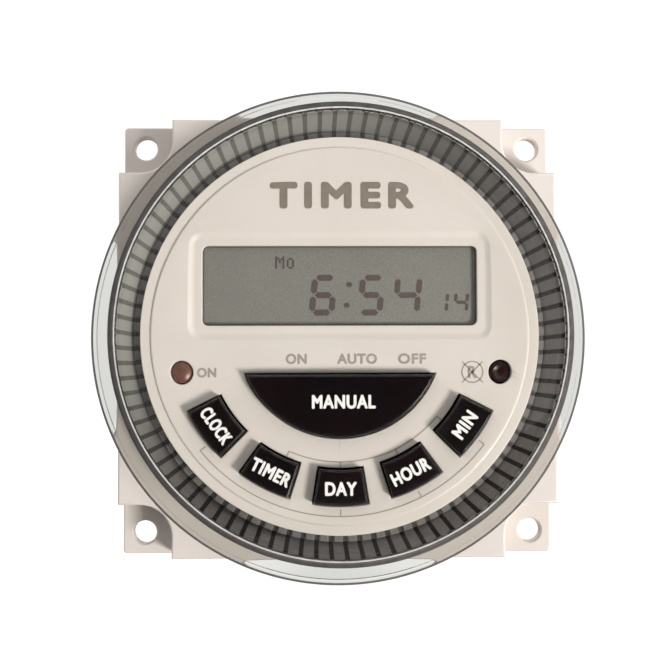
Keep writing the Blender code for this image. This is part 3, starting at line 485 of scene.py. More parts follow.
def boolean(mesh, tools, operation):
    """The mesh joined with, or cut by, each tool in turn."""
    holder = placed("holder", mesh)
    helpers = [placed("helper", tool) for tool in tools]
    for helper in helpers:
        step = holder.modifiers.new("step", "BOOLEAN")
        step.operation = operation
        step.solver = "EXACT"
        step.object = helper
    result = evaluated(holder)
    for used in (holder, *helpers):
        bpy.data.objects.remove(used)
    return result


def evaluated(holder):
    graph = bpy.context.evaluated_depsgraph_get()
    return bpy.data.meshes.new_from_object(holder.evaluated_get(graph))


def joined(mesh, *tools):
    return boolean(mesh, tools, "UNION")


def cut(mesh, *tools):
    return boolean(mesh, tools, "DIFFERENCE")


def together(meshes):
    """Separate bodies in one mesh."""
    work = bmesh.new()
    for mesh in meshes:
        work.from_mesh(mesh)
    return mesh_of(work)


def rectangle(width, height, radius=0.3, steps=5):
    """A rounded rectangle's outline as a function of its inset."""
    def outline(inset=0.0):
        points = []
        edge = max(radius - inset, 0.02)
        for side_x, side_y, start in ((1, 1, 0), (-1, 1, 90), (-1, -1, 180), (1, -1, 270)):
            centre = (side_x * (width / 2 - inset - edge), side_y * (height / 2 - inset - edge))
            points += arc(centre, edge, start, start + 90, steps)
        return points
    return outline


def circle(radius, steps=64):
    return lambda inset=0.0: arc((0, 0), radius - inset, 0, 360 - 360 / steps, steps - 1)


def polygon(points):
    """A fixed outline, turned to run anticlockwise."""
    area = sum(a[0] * b[1] - b[0] * a[1] for a, b in zip(points, points[1:] + points[:1]))
    ordered = points if area > 0 else points[::-1]
    return lambda inset=0.0: ordered


def block(x_range, y_range, z_range, edge=0.0, radius=0.05):
    """A box between ranges along each axis, with rounded front and back edges."""
    width, height = x_range[1] - x_range[0], y_range[1] - y_range[0]
    mesh = slab(rectangle(width, height, max(radius, edge)), *z_range, edge, edge)
    return moved(mesh, ((x_range[0] + x_range[1]) / 2, (y_range[0] + y_range[1]) / 2, 0.0))


def piece(name, mesh, material, body="housing", nodes=(), smooth=35, even=False):
    """A finished piece of the object, from a mesh in the face frame."""
    mesh.name = name
    mesh.transform(FACE_TO_ROW)
    for each in material if isinstance(material, (list, tuple)) else [material]:
        mesh.materials.append(MATERIALS[each])
    mesh.shade_smooth()
    mesh.set_sharp_from_angle(angle=radians(smooth))
    made = placed(name, mesh)
    if even:
        made.modifiers.new("even_shading", "WEIGHTED_NORMAL").keep_sharp = True
    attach(made, body)
    if nodes:
        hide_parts(*nodes)
    return made


# ---- outlines
def notched(base=0.0):
    """The block's outline with a round-bottomed notch at each corner, as a function of its inset."""
    def outline(inset=0.0):
        half = HALF_BLOCK - base - inset
        line = HALF_BLOCK - NOTCH - base - inset
        centre = HALF_BLOCK - NOTCH + NOTCH_RADIUS
        points = []
        for corner in range(4):
            turn = Matrix.Rotation(corner * pi / 2, 2)
            for point in [(half, line), *arc((centre, centre), centre - line, 270, 180, 12), (line, half)]:
                points.append(tuple(turn @ Vector(point)))
        return points
    return outline


def manual_outline(inset=0.0):
    """Segment of a circle below a chord."""
    radius = MANUAL_RADIUS - inset
    start = math.degrees(math.asin((MANUAL_CHORD - inset) / radius))
    return arc((0, 0), radius, 180 - start, 360 + start, 72)


def sector_outline(inset=0.0):
    """Ring sector about its own centre, with its middle straight down from the face's centre."""
    points = []
    for radius, direction in ((SECTOR_OUTER - inset, 1), (SECTOR_INNER + inset, -1)):
        half = math.degrees(SECTOR_HALF_ANGLE - inset / radius) * direction
        points += arc((0, SECTOR_CENTRE), radius, 270 - half, 270 + half, 12)
    return points


def sector_place(degrees):
    angle = radians(degrees)
    return SECTOR_CENTRE * sin(angle), -SECTOR_CENTRE * cos(angle)


# ---- front housing
def turret():
    """Shoulder, ring and turret with its rim and raised face, turned with softened edges."""
    edge = 0.15
    profile = [(0.0, FACE_FRONT), (FACE_RADIUS - 0.3, FACE_FRONT), (FACE_RADIUS - 0.1, FACE_FRONT - 0.06),
               (FACE_RADIUS, FACE_FRONT - 0.18), (FACE_RADIUS + 0.08, RIM_FRONT),
               (TURRET_RADIUS - edge, RIM_FRONT)]
    profile += [(TURRET_RADIUS - edge + edge * sin(a), RIM_FRONT - edge * (1 - cos(a)))
                for a in (radians(30), radians(60), radians(90))]
    profile += [(TURRET_RADIUS, RING_FRONT + 0.2), (TURRET_RADIUS + 0.2, RING_FRONT),
                (RING_RADIUS - 0.25, RING_FRONT), (RING_RADIUS - 0.07, RING_FRONT - 0.07),
                (RING_RADIUS, RING_FRONT - 0.25), (RING_RADIUS, SHOULDER_FRONT + 0.15),
                (RING_RADIUS + 0.15, SHOULDER_FRONT), (SHOULDER_RADIUS - 0.4, SHOULDER_FRONT),
                (SHOULDER_RADIUS - 0.12, SHOULDER_FRONT - 0.12), (SHOULDER_RADIUS, SHOULDER_FRONT - 0.4),
                (SHOULDER_RADIUS, BLOCK_FRONT - 0.5), (0.0, BLOCK_FRONT - 0.5)]
    return lathe(profile, 256)


def opening(outline_of, at=(0.0, 0.0), turn=0.0, front=FACE_FRONT):
    """A hole through the face with a softened mouth."""
    levels = [(-KEY_CLEARANCE, FACE_INNER - 1.0), (-KEY_CLEARANCE, front - 0.14),
              (-KEY_CLEARANCE - 0.05, front - 0.05), (-KEY_CLEARANCE - 0.16, front + 0.02),
              (-KEY_CLEARANCE - 0.16, front + 1.0)]
    return moved(loft(outline_of, levels), (*at, 0.0), turn)


def front_housing():
    """Ears, block and round front in one moulding, hollow behind, with its openings."""
    shell = slab(rectangle(2 * HALF_BLOCK, 2 * HALF_BLOCK, 0.5), 0.0, EAR_THICKNESS, 0.25, 0.15)
    shell = joined(shell, slab(notched(), EAR_THICKNESS - 0.5, BLOCK_FRONT, 0.35), turret())
    window = rectangle(DISPLAY_WINDOW[0] - 2 * KEY_CLEARANCE, DISPLAY_WINDOW[1] - 2 * KEY_CLEARANCE, 0.55)
    tray = rectangle(*DISPLAY_TRAY, 1.7)
    tray_cut = loft(tray, [(0.9, TRAY_FLOOR), (0.7, TRAY_FLOOR + 0.02), (0.45, TRAY_FLOOR + 0.08),
                           (0.2, TRAY_FLOOR + 0.2), (0.0, FACE_FRONT - 0.03), (-0.15, FACE_FRONT + 0.005),
                           (-0.15, FACE_FRONT + 1.0)])
    pocket = slab(rectangle(*DISPLAY_POCKET, 0.3), FACE_INNER - 1.0, FACE_INNER + DISPLAY_POCKET_DEPTH)
    cuts = [slab(notched(WALL), -1.0, BLOCK_FRONT - WALL),
            moved(pocket, (*DISPLAY_CENTRE, 0.0)),
            lathe([(0.0, FACE_INNER), (TURRET_BORE, FACE_INNER), (TURRET_BORE, BLOCK_FRONT - WALL - 0.5),
                   (0.0, BLOCK_FRONT - WALL - 0.5)], 128),
            moved(tray_cut, (*DISPLAY_CENTRE, 0.0)),
            opening(window, DISPLAY_CENTRE, front=TRAY_FLOOR),
            opening(manual_outline),
            opening(circle(INDICATOR_RADIUS - 0.1, 48), INDICATOR_AT),
            opening(circle(RESET_HOLE_RADIUS - KEY_CLEARANCE, 48), RESET_AT)]
    for _, degrees in SECTOR_KEYS:
        cuts.append(opening(sector_outline, sector_place(degrees), radians(degrees)))
    levels = [(-0.3, -1.0), (-0.3, 0.0), (0.0, 0.3), (0.0, EAR_THICKNESS - 0.25),
              (-0.25, EAR_THICKNESS + 0.01), (-0.25, EAR_THICKNESS + 1.0)]
    for side_x, side_y in ((1, 1), (-1, 1), (-1, -1), (1, -1)):
        hole = loft(circle(EAR_HOLE_RADIUS, 48), levels)
        cuts.append(moved(hole, (side_x * EAR_HOLE, side_y * EAR_HOLE, 0.0)))
    shell = cut(shell, *cuts)
    piece("front_shell", shell, "housing", "housing", ["front_housing"], even=True)


# ---- clear cover
# Share of a rib's pitch, and how far the outer wall stands out there: a rib, then the groove after it
GROOVE_START = 0.7
RIB_PHASES = ((0.0, 0.0), (0.05, 0.75), (0.1, 1.0), (0.35, 1.0), (0.6, 1.0), (0.65, 0.75),
              (GROOVE_START, 0.0), (0.85, 0.0))
COVER_MATERIALS = ["window", "skirt", "bar", "groove", "flange", "edge", "shoulder", "rim"]


def rib_round(radius, relief=0.0):
    """Points round the cover, each with its share of a rib's height; the relief raises the ribs."""
    points = []
    for rib in range(COVER_RIBS):
        for phase, rise in RIB_PHASES:
            angle = 2 * pi * (rib + phase) / COVER_RIBS
            reach = radius + (COVER_RIB - COVER_ROOT) * rise * relief
            points.append((reach * cos(angle), reach * sin(angle), rise))
    return points


def in_groove(place):
    """Whether a place round the cover lies in the groove after a rib."""
    pitches = math.degrees(math.atan2(place.y, place.x)) % 360 * COVER_RIBS / 360
    return pitches % 1 > GROOVE_START


def cover_profile(flange, back, front):
    """Radius, height and any relief of the ribs, from the window's middle out, down and back inside."""
    inner = front - COVER_WINDOW
    top = back + COVER_FLANGE
    face = front - 0.05
    reach = COVER_RIB - SHOULDER_START
    rounded = [(SHOULDER_START + reach * sin(radians(a)), face - reach * (1 - cos(radians(a))))
               for a in (22, 45, 68, 90)]
    return [(0.0, face), (20.0, face), (WINDOW_EDGE, face), (WINDOW_EDGE + 0.05, front),
            (SHOULDER_START - 0.05, front), (SHOULDER_START, face), *rounded,
            (COVER_RIB, front - 1.15), (COVER_RIB - 0.04, front - 1.2), (COVER_ROOT, front - 1.22, 1.0),
            (COVER_ROOT, top + 0.45, 1.0), (COVER_ROOT + 0.08, top + 0.2, 0.8),
            (COVER_ROOT + 0.5, top + 0.03, 0.1), (COVER_ROOT + 0.8, top), (flange - 0.95, top),
            (flange - 0.85, top - 0.06), (flange - 0.8, top - 0.22), (flange - 0.35, top - 0.25),
            (flange - 0.1, top - 0.34), (flange, top - 0.6), (flange, back + 0.3),
            (flange - 0.1, back + 0.08), (flange - 0.3, back), (COVER_BORE + 0.4, back),
            (COVER_BORE + 0.1, back + 0.1), (COVER_BORE, back + 0.4), (COVER_BORE, inner - 0.4),
            (COVER_BORE - 0.12, inner - 0.12), (COVER_BORE - 0.4, inner), (20.0, inner), (0.0, inner)]


def cover_material(face, flange, flange_top, inner):
    """Which of the cover's materials a face takes, by where it lies."""
    middle = face.calc_center_median()
    reach = math.hypot(middle.x, middle.y)
    if middle.z < flange_top + 0.15 and reach > COVER_BORE + 0.05:
        return "rim" if reach > flange - 0.36 else "flange"
    if abs(reach - COVER_BORE) < 0.03 and middle.z < inner - 0.1:
        return "groove" if in_groove(middle) else "bar"
    if middle.z > inner + 0.02 and reach > WINDOW_EDGE:
        return "edge" if reach < SHOULDER_START else "shoulder"
    return "window" if reach < WINDOW_EDGE else "skirt"


def clear_cover():
    """Clear cover in one piece: window, edge ring with a painted highlight, ribbed skirt and flange, with
    painted shade on skirt, shoulder and flange.
    """
    (_, flange), _, (back, front) = node_box("clear_cover")
    work = bmesh.new()
    rings = []
    for radius, height, *relief in cover_profile(flange, back, front):
        ring = rib_round(radius, *relief) if radius else [(0.0, 0.0, 0.0)]
        rings.append([work.verts.new((x, y, height)) for x, y, _ in ring])
    bridge(work, rings, COVER_RIBS * len(RIB_PHASES))
    for face in work.faces:
        kind = cover_material(face, flange, back + COVER_FLANGE, front - COVER_WINDOW)
        face.material_index = COVER_MATERIALS.index(kind)
    piece("cover_shell", mesh_of(work), COVER_MATERIALS, "cover", ["clear_cover"], 30)


def gap_shade_ring():
    """Dark ring at the foot of the turret, standing in for the shade in the gap, with a painted rib shadow in
    a dip opposite each groove of the skirt.
    """
    edge = SHADE_RING_FRONT - SHADE_RING_EDGE
    profile = ((SHADE_RING_OUTER, SHADE_RING_BACK), (SHADE_RING_OUTER, edge), (SHADE_RING_OUTER - SHADE_RING_EDGE, SHADE_RING_FRONT),
               (SHADE_RING_INNER + SHADE_RING_EDGE, SHADE_RING_FRONT), (SHADE_RING_INNER, edge), (SHADE_RING_INNER, SHADE_RING_BACK))
    work = bmesh.new()
    rings = []
    for radius, height in profile:
        depth = SHADE_RING_DIP if height > SHADE_RING_BACK else 0.0
        rings.append([work.verts.new((x, y, height - depth * (1 - rise)))
                      for x, y, rise in rib_round(radius)])
    bridge(work, rings + rings[:1], COVER_RIBS * len(RIB_PHASES))
    for face in work.faces:
        # The dips opposite the skirt's grooves take the painted rib shadow.
        face.material_index = int(in_groove(face.calc_center_median()))
    piece("gap_shade_piece", mesh_of(work), ["gap_shade", "painted_rib_shadow"], "housing")


# ---- printing
WEIGHT_COPIES = 8                 # shifted copies that thicken a letter
WEIGHT_STEP = 0.0008              # each lies a little lower than the one before
LETTER_HALF = 0.01                # half the thickness that Blender gives the letters
LETTER_SPACE = 1.2                # extra space between letters, for each unit of weight


def lettering(words, cap_height, at, level, width=None, turn=0.0, weight=0.0):
    """Words as thin raised ink, centred on a place in the face frame; weight thickens every stroke."""
    curve = bpy.data.curves.new("words", "FONT")
    curve.body = words
    curve.align_x = "CENTER"
    curve.extrude = LETTER_HALF
    curve.space_character = 1.0 + LETTER_SPACE * weight
    curve.resolution_u = 5
    holder = placed("words", curve)
    bpy.context.view_layer.update()
    mesh = evaluated(holder)
    bpy.data.objects.remove(holder)
    xs = [v.co.x for v in mesh.vertices]
    ys = [v.co.y for v in mesh.vertices]
    scale_y = (cap_height - 2 * weight) / (max(ys) - min(ys))
    scale_x = (width - 2 * weight) / (max(xs) - min(xs)) if width else scale_y
    middle = Matrix.Translation((-(max(xs) + min(xs)) / 2, -(max(ys) + min(ys)) / 2, 0.0))
    mesh.transform(Matrix.Diagonal((scale_x, scale_y, PRINT / (2 * LETTER_HALF), 1.0)) @ middle)
    copies = [mesh]
    for i in range(WEIGHT_COPIES if weight else 0):
        angle = 2 * pi * i / WEIGHT_COPIES
        aside = (weight * cos(angle), weight * sin(angle), -WEIGHT_STEP * (i + 1))
        copy = mesh.copy()
        copy.transform(Matrix.Translation(aside))
        copies.append(copy)
    return moved(together(copies), (*at, level + PRINT / 2), turn)


def stroke(points, width, level):
    """A thin printed line of a constant width along points."""
    left, right = [], []
    for i, point in enumerate(points):
        before, after = Vector(points[max(i - 1, 0)]), Vector(points[min(i + 1, len(points) - 1)])
        along = (after - before).normalized()
        side = Vector((-along.y, along.x)) * width / 2
        left.append(tuple(Vector(point) + side))
        right.append(tuple(Vector(point) - side))
    return slab(polygon(left + right[::-1]), level, level + PRINT)


def ring_line(radius, start, end):
    """Printed arc on the face; angles are from straight down, towards the right."""
    return stroke(arc((0.0, 0.0), radius, start - 90, end - 90, 48), LINE, FACE_FRONT)


def tick(radius_from, radius_to, degrees):
    angle = radians(degrees - 90)
    ends = [(r * cos(angle), r * sin(angle)) for r in (radius_from, radius_to)]
    return stroke(ends, LINE, FACE_FRONT)


# Words with their cap height, centre, width and weight
TITLE = ("TIMER", 3.5, (0.3, 18.3), 18.9, 0.25)
LABELS = (("ON", 1.4, (-5.7, -3.05), 2.75, 0.075), ("AUTO", 1.4, (2.2, -3.05), 5.2, 0.075),
          ("OFF", 1.4, (9.35, -3.05), 3.7, 0.075), ("ON", 1.3, (-17.3, -4.8), 2.5, 0.07))
# Radius of a line under or over the keys, where its ticks end, and their angles; the outer two end the line
BRACKETS = ((23.7, 22.7, (-50.6, 0.0, 26.5, 52.75)), (16.4, 17.2, (-24.0, 0.0, 25.7, 50.0)))
MARK_AT = (17.2, -4.8)
MARK_RADIUS = 1.36


def face_printing():
    """Title, words, the lines that join the keys, and the crossed mark beside the reset button."""
    title, *labels = [lettering(words, height, at, FACE_FRONT, width, weight=weight)
                      for words, height, at, width, weight in (TITLE, *LABELS)]
    piece("title_print", title, "title")
    piece("label_print", together(labels), "label")
    lines = [ring_line(radius, ticks[0], ticks[-1]) for radius, _, ticks in BRACKETS]
    lines += [tick(radius, end, degrees) for radius, end, ticks in BRACKETS for degrees in ticks]
    piece("bracket_print", together(lines), "label")
    mark = [stroke(arc(MARK_AT, MARK_RADIUS, 0, 360, 48), 0.17, FACE_FRONT),
            lettering("R", 1.6, MARK_AT, FACE_FRONT, 1.2, weight=0.09)]
    x, y = MARK_AT
    for rise in (MARK_RADIUS, -MARK_RADIUS):
        mark.append(stroke([(x - MARK_RADIUS, y - rise), (x + MARK_RADIUS, y + rise)], 0.15, FACE_FRONT))
    piece("reset_print", together(mark), "label")


# ---- keys, indicator and reset
def key_cap(key, outline_of, at=(0.0, 0.0), turn=0.0):
    """A key with its flange and rounded top; gives the height of the top."""
    _, _, (back, front) = node_box("key_" + key)
    flange = slab(lambda inset=0.0: outline_of(inset - KEY_FLANGE), back, back + KEY_FLANGE)
    levels = rounded_levels(back + 0.2, front, KEY_EDGE, steps=5)
    cap = joined(flange, loft(outline_of, levels))
    piece("cap_" + key, moved(cap, (*at, 0.0), turn), "key", key + "_key",
          ["key_" + key], 40, True)
    return front


LEGEND_HEIGHT = 1.8
LEGEND_WEIGHT = 0.09
LEGEND_WIDTHS = {"manual": 8.2, "clock": 5.2, "timer": 5.5, "day": 4.1, "hour": 5.3, "min": 3.7}
MANUAL_LEGEND_AT = (0.4, -8.6)


def legend(key, at, top, turn=0.0):
    words = lettering(key.upper(), LEGEND_HEIGHT, at, top, LEGEND_WIDTHS[key], turn, LEGEND_WEIGHT)
    piece("legend_" + key, words, "legend", key + "_key")


def keys():
    legend("manual", MANUAL_LEGEND_AT, key_cap("manual", manual_outline))
    for key, degrees in SECTOR_KEYS:
        at = sector_place(degrees)
        turn = radians(degrees)
        legend(key, at, key_cap(key, sector_outline, at, turn), turn)


def indicator():
    """Domed lens with a collar behind the face."""
    _, _, (back, front) = node_box("status_led")
    radius = INDICATOR_RADIUS
    profile = [(radius * sin(radians(a)), front - INDICATOR_DOME * (1 - cos(radians(a))))
               for a in range(0, 100, 10)]
    profile += [(radius, back + 1.0), (radius + 0.3, back + 1.0), (radius + 0.3, back), (0.0, back)]
    piece("indicator_lens", lathe(profile, 64, INDICATOR_AT), "indicator", "housing",
          ["status_led"])


def reset_button():
    """Round button with a dished top."""
    (low, high), _, (back, front) = node_box("key_reset")
    flange = (high - low) / 2
    radius = RESET_RADIUS
    profile = [(0.0, front - 0.22), (0.5, front - 0.2), (0.85, front - 0.06), (1.0, front),
               (radius - 0.2, front), (radius - 0.05, front - 0.06), (radius, front - 0.22),
               (radius, back + 0.5), (flange, back + 0.5), (flange, back), (0.0, back)]
    piece("reset_cap", lathe(profile, 64, RESET_AT), "reset", "reset_key", ["key_reset"])


# ---- display
SEGMENTS = {"1": "bc", "4": "fgbc", "5": "afgcd", "6": "afgecd"}
SLANT = 0.1                       # how far a figure leans to the right, for each unit of height
# Figures with their centre, width, height and thickness of bar
FIGURES = (("6", (-2.15, 5.3), 3.35, 5.35, 0.78), ("5", (4.15, 5.3), 3.35, 5.35, 0.78),
           ("4", (8.9, 5.3), 3.55, 5.35, 0.72), ("1", (13.35, 4.35), 1.9, 2.9, 0.42),
           ("4", (15.95, 4.35), 1.95, 2.9, 0.42))
COLON_AT = ((1.26, 6.67), (0.92, 3.97))
# The short day name in small square dots: rows of each letter, and its left edge
DOT = 0.235
DAY_LETTERS = ((("1...1", "11.11", "1.1.1", "1.1.1", "1...1", "1...1", "1...1"), -8.3),
               (("....", ".11.", "1..1", "1..1", "1..1", "1..1", ".11."), -6.8))
DAY_TOP = 10.3


def bar(start, end, width, level):
    """One display segment: a bar with pointed ends."""
    a, b = Vector(start), Vector(end)
    along = (b - a).normalized()
    side = Vector((-along.y, along.x)) * width / 2
    tip = width * 0.42
    near, far = a + along * tip, b - along * tip
    points = [a, near + side, far + side, b, far - side, near - side]
    return slab(polygon([tuple(p) for p in points]), level, level + PRINT)


def digit(value, centre, width, height, thick, level):
    """A seven-segment figure, leaning a little to the right."""
    half_x, half_y = (width - thick) / 2, (height - thick) / 2
    gap = thick * 0.22
    spans = {
        "a": ((-half_x, half_y), (half_x, half_y)), "g": ((-half_x, 0), (half_x, 0)),
        "d": ((-half_x, -half_y), (half_x, -half_y)), "f": ((-half_x, 0), (-half_x, half_y)),
        "b": ((half_x, 0), (half_x, half_y)), "e": ((-half_x, -half_y), (-half_x, 0)),
        "c": ((half_x, -half_y), (half_x, 0)),
    }
    made = []
    for name in SEGMENTS[value]:
        a, b = Vector(spans[name][0]), Vector(spans[name][1])
        along = (b - a).normalized() * gap
        a, b = a + along, b - along
        lean = [(p.x + p.y * SLANT + centre[0], p.y + centre[1]) for p in (a, b)]
        made.append(bar(*lean, thick, level))
    return made


def display():
    """Panel, a painted shadow line round the inside of its window, and the figures."""
    x_range, y_range, (back, front) = node_box("lcd_panel")
    panel = block(x_range, y_range, (back, front), 0.12)
    piece("display_panel", panel, "display", "housing", ["lcd_panel"])
    wide, high = DISPLAY_WINDOW
    # Painted shadow: a thin dark ring just in front of the panel, inside the window's edge.
    rim = slab(rectangle(wide + 0.3, high + 0.3, 0.6), front + 0.002, front + 0.03)
    inside = rectangle(wide - 2 * WINDOW_SHADE_LINE, high - 2 * WINDOW_SHADE_LINE, 0.5)
    rim = cut(rim, slab(inside, front - 1, front + 1))
    piece("window_shadow_line", moved(rim, (*DISPLAY_CENTRE, 0.0)), "outline")
    level = front + 0.01
    parts = []
    for figure in FIGURES:
        parts += digit(*figure, level)
    for at in COLON_AT:
        parts.append(moved(slab(rectangle(0.72, 0.62, 0.22), level, level + PRINT), (*at, 0.0)))
    parts += day_letters(level)
    piece("display_figures", together(parts), "segment")


def day_letters(level):
    parts = []
    for rows, left in DAY_LETTERS:
        for r, row in enumerate(rows):
            for c, mark in enumerate(row):
                if mark == "1":
                    at = (left + c * DOT, DAY_TOP - r * DOT, 0.0)
                    parts.append(moved(slab(rectangle(DOT, DOT, 0.04, 2), level, level + PRINT), at))
    return parts


# ---- rear housing, latch and terminals
def rear_housing():
    """Hollow rear shell with rail hook, latch guide, terminal bay, vents and label recess."""
    shell = slab(notched(WALL + 0.3), 0.0, REAR_FLANGE, 0.2, 0.15)
    body = slab(rectangle(2 * HALF_REAR, 2 * HALF_REAR, REAR_CORNER, 12), REAR_BACK, 0.5, 0.0, 0.7)
    foot = (FOOT_BACK, REAR_BACK + 0.5)
    hook = block((-HOOK_HALF_WIDTH, HOOK_HALF_WIDTH), (RAIL_TOP - HOOK_GRIP, HALF_REAR), foot, 0.4)
    guide = block((-GUIDE_HALF_WIDTH, GUIDE_HALF_WIDTH), (-HALF_REAR, FOOT_EDGE), foot, 0.4)
    shell = joined(shell, body, hook, guide)
    cuts = [block((-30, 30), (0.0, RAIL_TOP + 0.3), (LIP_BACK, REAR_BACK)),
            block((-HALF_REAR + 1.5, HALF_REAR - 1.5), (-HALF_REAR - 1.0, BAY_TOP), BAY_DEPTHS, 0.0, 0.3)]
    inner = HALF_REAR - WALL
    hollow = rectangle(2 * inner, inner - HOLLOW_BOTTOM, REAR_CORNER - WALL)
    hollow = slab(hollow, HOLLOW_BACK, REAR_FLANGE + 1.0)
    cuts.append(moved(hollow, (0.0, (inner + HOLLOW_BOTTOM) / 2, 0.0)))
    for i in range(BLADES):
        x = (i - 2) * BLADE_PITCH
        cuts.append(block((x - 0.7, x + 0.7), (BAY_TOP - 0.5, HOLLOW_BOTTOM + 0.5), TAIL_SLOT))
    wide = LATCH_HALF_WIDTH + LATCH_CLEARANCE
    below = (-HALF_REAR - 1.0, FOOT_EDGE + 1.0)
    cuts.append(block((-wide, wide), below, (LIP_BACK - 2.6, LIP_BACK + LATCH_CLEARANCE)))
    cuts.append(block((-wide + 2.2, wide - 2.2), below, (FOOT_BACK - 1.0, LIP_BACK)))
    for at in CASE_SCREWS:
        cuts.append(moved(slab(circle(SCREW_SINK_RADIUS, 48), -1.0, SCREW_SINK), (*at, 0.0)))
        cuts.append(moved(slab(circle(SCREW_PILOT_RADIUS, 32), 0.0, REAR_FLANGE + 1.0), (*at, 0.0)))
    for x in (HALF_REAR, -HALF_REAR):
        for i in range(VENTS):
            y = VENT_START + VENT_PITCH * i
            cuts.append(block((x - 0.6, x + 0.6), (y - 0.45, y + 0.45), VENT_DEPTHS, 0.0, 0.4))
    recess = slab(rectangle(*LABEL_SIZE, 1.0), REAR_BACK - 1.0, REAR_BACK + LABEL_RECESS)
    cuts.append(moved(recess, (0.0, LABEL_MIDDLE, 0.0)))
    shell = cut(shell, *cuts)
    _, _, (latch_back, _) = node_box("rail_latch")
    shell = joined(shell, block((-1.2, 1.2), SPRING_POST, (latch_back + 1.0, LIP_BACK + 0.8)))
    piece("rear_shell", shell, "housing", "housing", ["rear_housing"], even=True)


def rear_label():
    """Plain label with a sketch of the numbered terminals."""
    front = REAR_BACK + LABEL_RECESS
    back = front - LABEL_THICKNESS
    wide, high = LABEL_SIZE
    sheet = slab(rectangle(wide - 0.8, high - 0.8, 0.9), back, front - 0.005)
    piece("rear_label", moved(sheet, (0.0, LABEL_MIDDLE, 0.0)), "paper")
    lines = []
    for i in range(BLADES):
        x = (2 - i) * DIAGRAM_PITCH
        lines.append(stroke(arc((x, -3.2), 0.8, 0, 360, 32), LINE, 0.0))
        lines.append(lettering(str(i + 1), 1.5, (-x, -5.6), 0.0))
        lines.append(stroke([(x, -2.4), (x, LOW_BAR if i < 2 else HIGH_BAR)], LINE, 0.0))
    lines.append(stroke([(DIAGRAM_PITCH, LOW_BAR), (2 * DIAGRAM_PITCH, LOW_BAR)], LINE, 0.0))
    lines.append(stroke([(-2 * DIAGRAM_PITCH, HIGH_BAR), (0.0, HIGH_BAR)], LINE, 0.0))
    lines.append(stroke([(-13.5, 9.6), (13.5, 9.6)], 0.12, 0.0))
    mesh = together(lines)
    mesh.transform(Matrix.Translation((0.0, 0.0, back)) @ Matrix.Rotation(pi, 4, "Y"))
    piece("rear_diagram", mesh, "title")


SLOT_TURN = 0.25                  # radians


def case_screws():
    """Pan-head screws with a cross recess."""
    for i, at in enumerate(CASE_SCREWS, 1):
        _, _, (low, high) = node_box(f"case_screw_{i}")
        head = [(0.0, 0.02), (0.7, 0.04), (1.2, 0.13), (1.55, 0.3), (1.7, 0.55), (1.68, 0.8), (0.8, 0.8)]
        profile = [(radius, low + depth) for radius, depth in head]
        head = lathe(profile + [(0.8, high - 0.5), (0.45, high), (0.0, high)], 48, at)
        for turn in (SLOT_TURN, SLOT_TURN + pi / 2):
            slot = loft(rectangle(1.9, 0.42, 0.1, 2), [(0.0, low - 0.3), (0.0, low + 0.1), (0.14, low + 0.5)])
            head = cut(head, moved(slot, (*at, 0.0), turn))
        piece(f"case_screw_head_{i}", head, "steel", "housing", [f"case_screw_{i}"])


COIL_WIRE = 0.17                  # radius
COIL_TURNS = 6
COIL_STEPS = 28                   # in a turn
COIL_SIDES = 10


def latch_coil():
    """Compression spring, drawn at one length, though the real one shortens as the latch is pulled; gives it
    and its foot's height.
    """
    (x0, x1), (y0, y1), (z0, z1) = node_box("latch_spring")
    radius = (x1 - x0) / 2 - COIL_WIRE
    steps = COIL_TURNS * COIL_STEPS
    middle = (z0 + z1) / 2
    around = [2 * pi * k / COIL_SIDES for k in range(COIL_SIDES)]
    work = bmesh.new()
    rings = []
    for i in range(steps + 1):
        share = i / steps
        angle = 2 * pi * COIL_TURNS * share
        rise = share + 0.02 * sin(2 * pi * share)
        height = y0 + COIL_WIRE + (y1 - y0 - 2 * COIL_WIRE) * rise
        centre = Vector((radius * cos(angle), height, middle + radius * sin(angle)))
        out = Vector((cos(angle), 0.0, sin(angle)))
        rings.append([work.verts.new(centre + COIL_WIRE * (out * cos(a) + Vector((0, 1, 0)) * sin(a)))
                      for a in around])
    bridge(work, rings, COIL_SIDES)
    work.faces.new(rings[0])
    work.faces.new(rings[-1])
    coil = piece("latch_coil", mesh_of(work), "spring", "housing", ["latch_spring"])
    return coil, y0


def terminals():
    """Chamfered blades with a detent hole."""
    on_edge = Matrix(((0, 0, 1, 0), (1, 0, 0, 0), (0, 1, 0, 0), (0, 0, 0, 1)))
    middle = (BAY_DEPTHS[0] + BAY_DEPTHS[1]) / 2
    shoulder = BAY_TOP - 0.3
    tail_low, tail_high = BLADE_TAIL
    for i in range(1, BLADES + 1):
        name = f"terminal_{i}"
        (x0, x1), (tip, top), (low, high) = node_box(name)
        side = [(tip, low + BLADE_TIP), (tip + BLADE_TIP, low), (shoulder, low), (shoulder, tail_low),
                (top, tail_low), (top, tail_high), (shoulder, tail_high), (shoulder, high),
                (tip + BLADE_TIP, high), (tip, high - BLADE_TIP)]
        blade = slab(polygon(side), -(x1 - x0) / 2, (x1 - x0) / 2)
        hole = slab(circle(DETENT_RADIUS, 32), -1.0, 1.0)
        blade = softened(cut(blade, moved(hole, (tip + DETENT_REACH, middle, 0.0))), BLADE_EDGE)
        blade.transform(Matrix.Translation(((x0 + x1) / 2, 0.0, 0.0)) @ on_edge)
        piece(f"blade_{i}", blade, "brass", "housing", [name])


def soften(made, width):
    """Bevels an object's sharp edges."""
    edge = made.modifiers.new("soft_edges", "BEVEL")
    edge.width = width
    edge.segments = 2
    edge.limit_method = "ANGLE"
    edge.angle_limit = radians(30)


def softened(mesh, width):
    holder = placed("holder", mesh)
    soften(holder, width)
    result = evaluated(holder)
    bpy.data.objects.remove(holder)
    return result


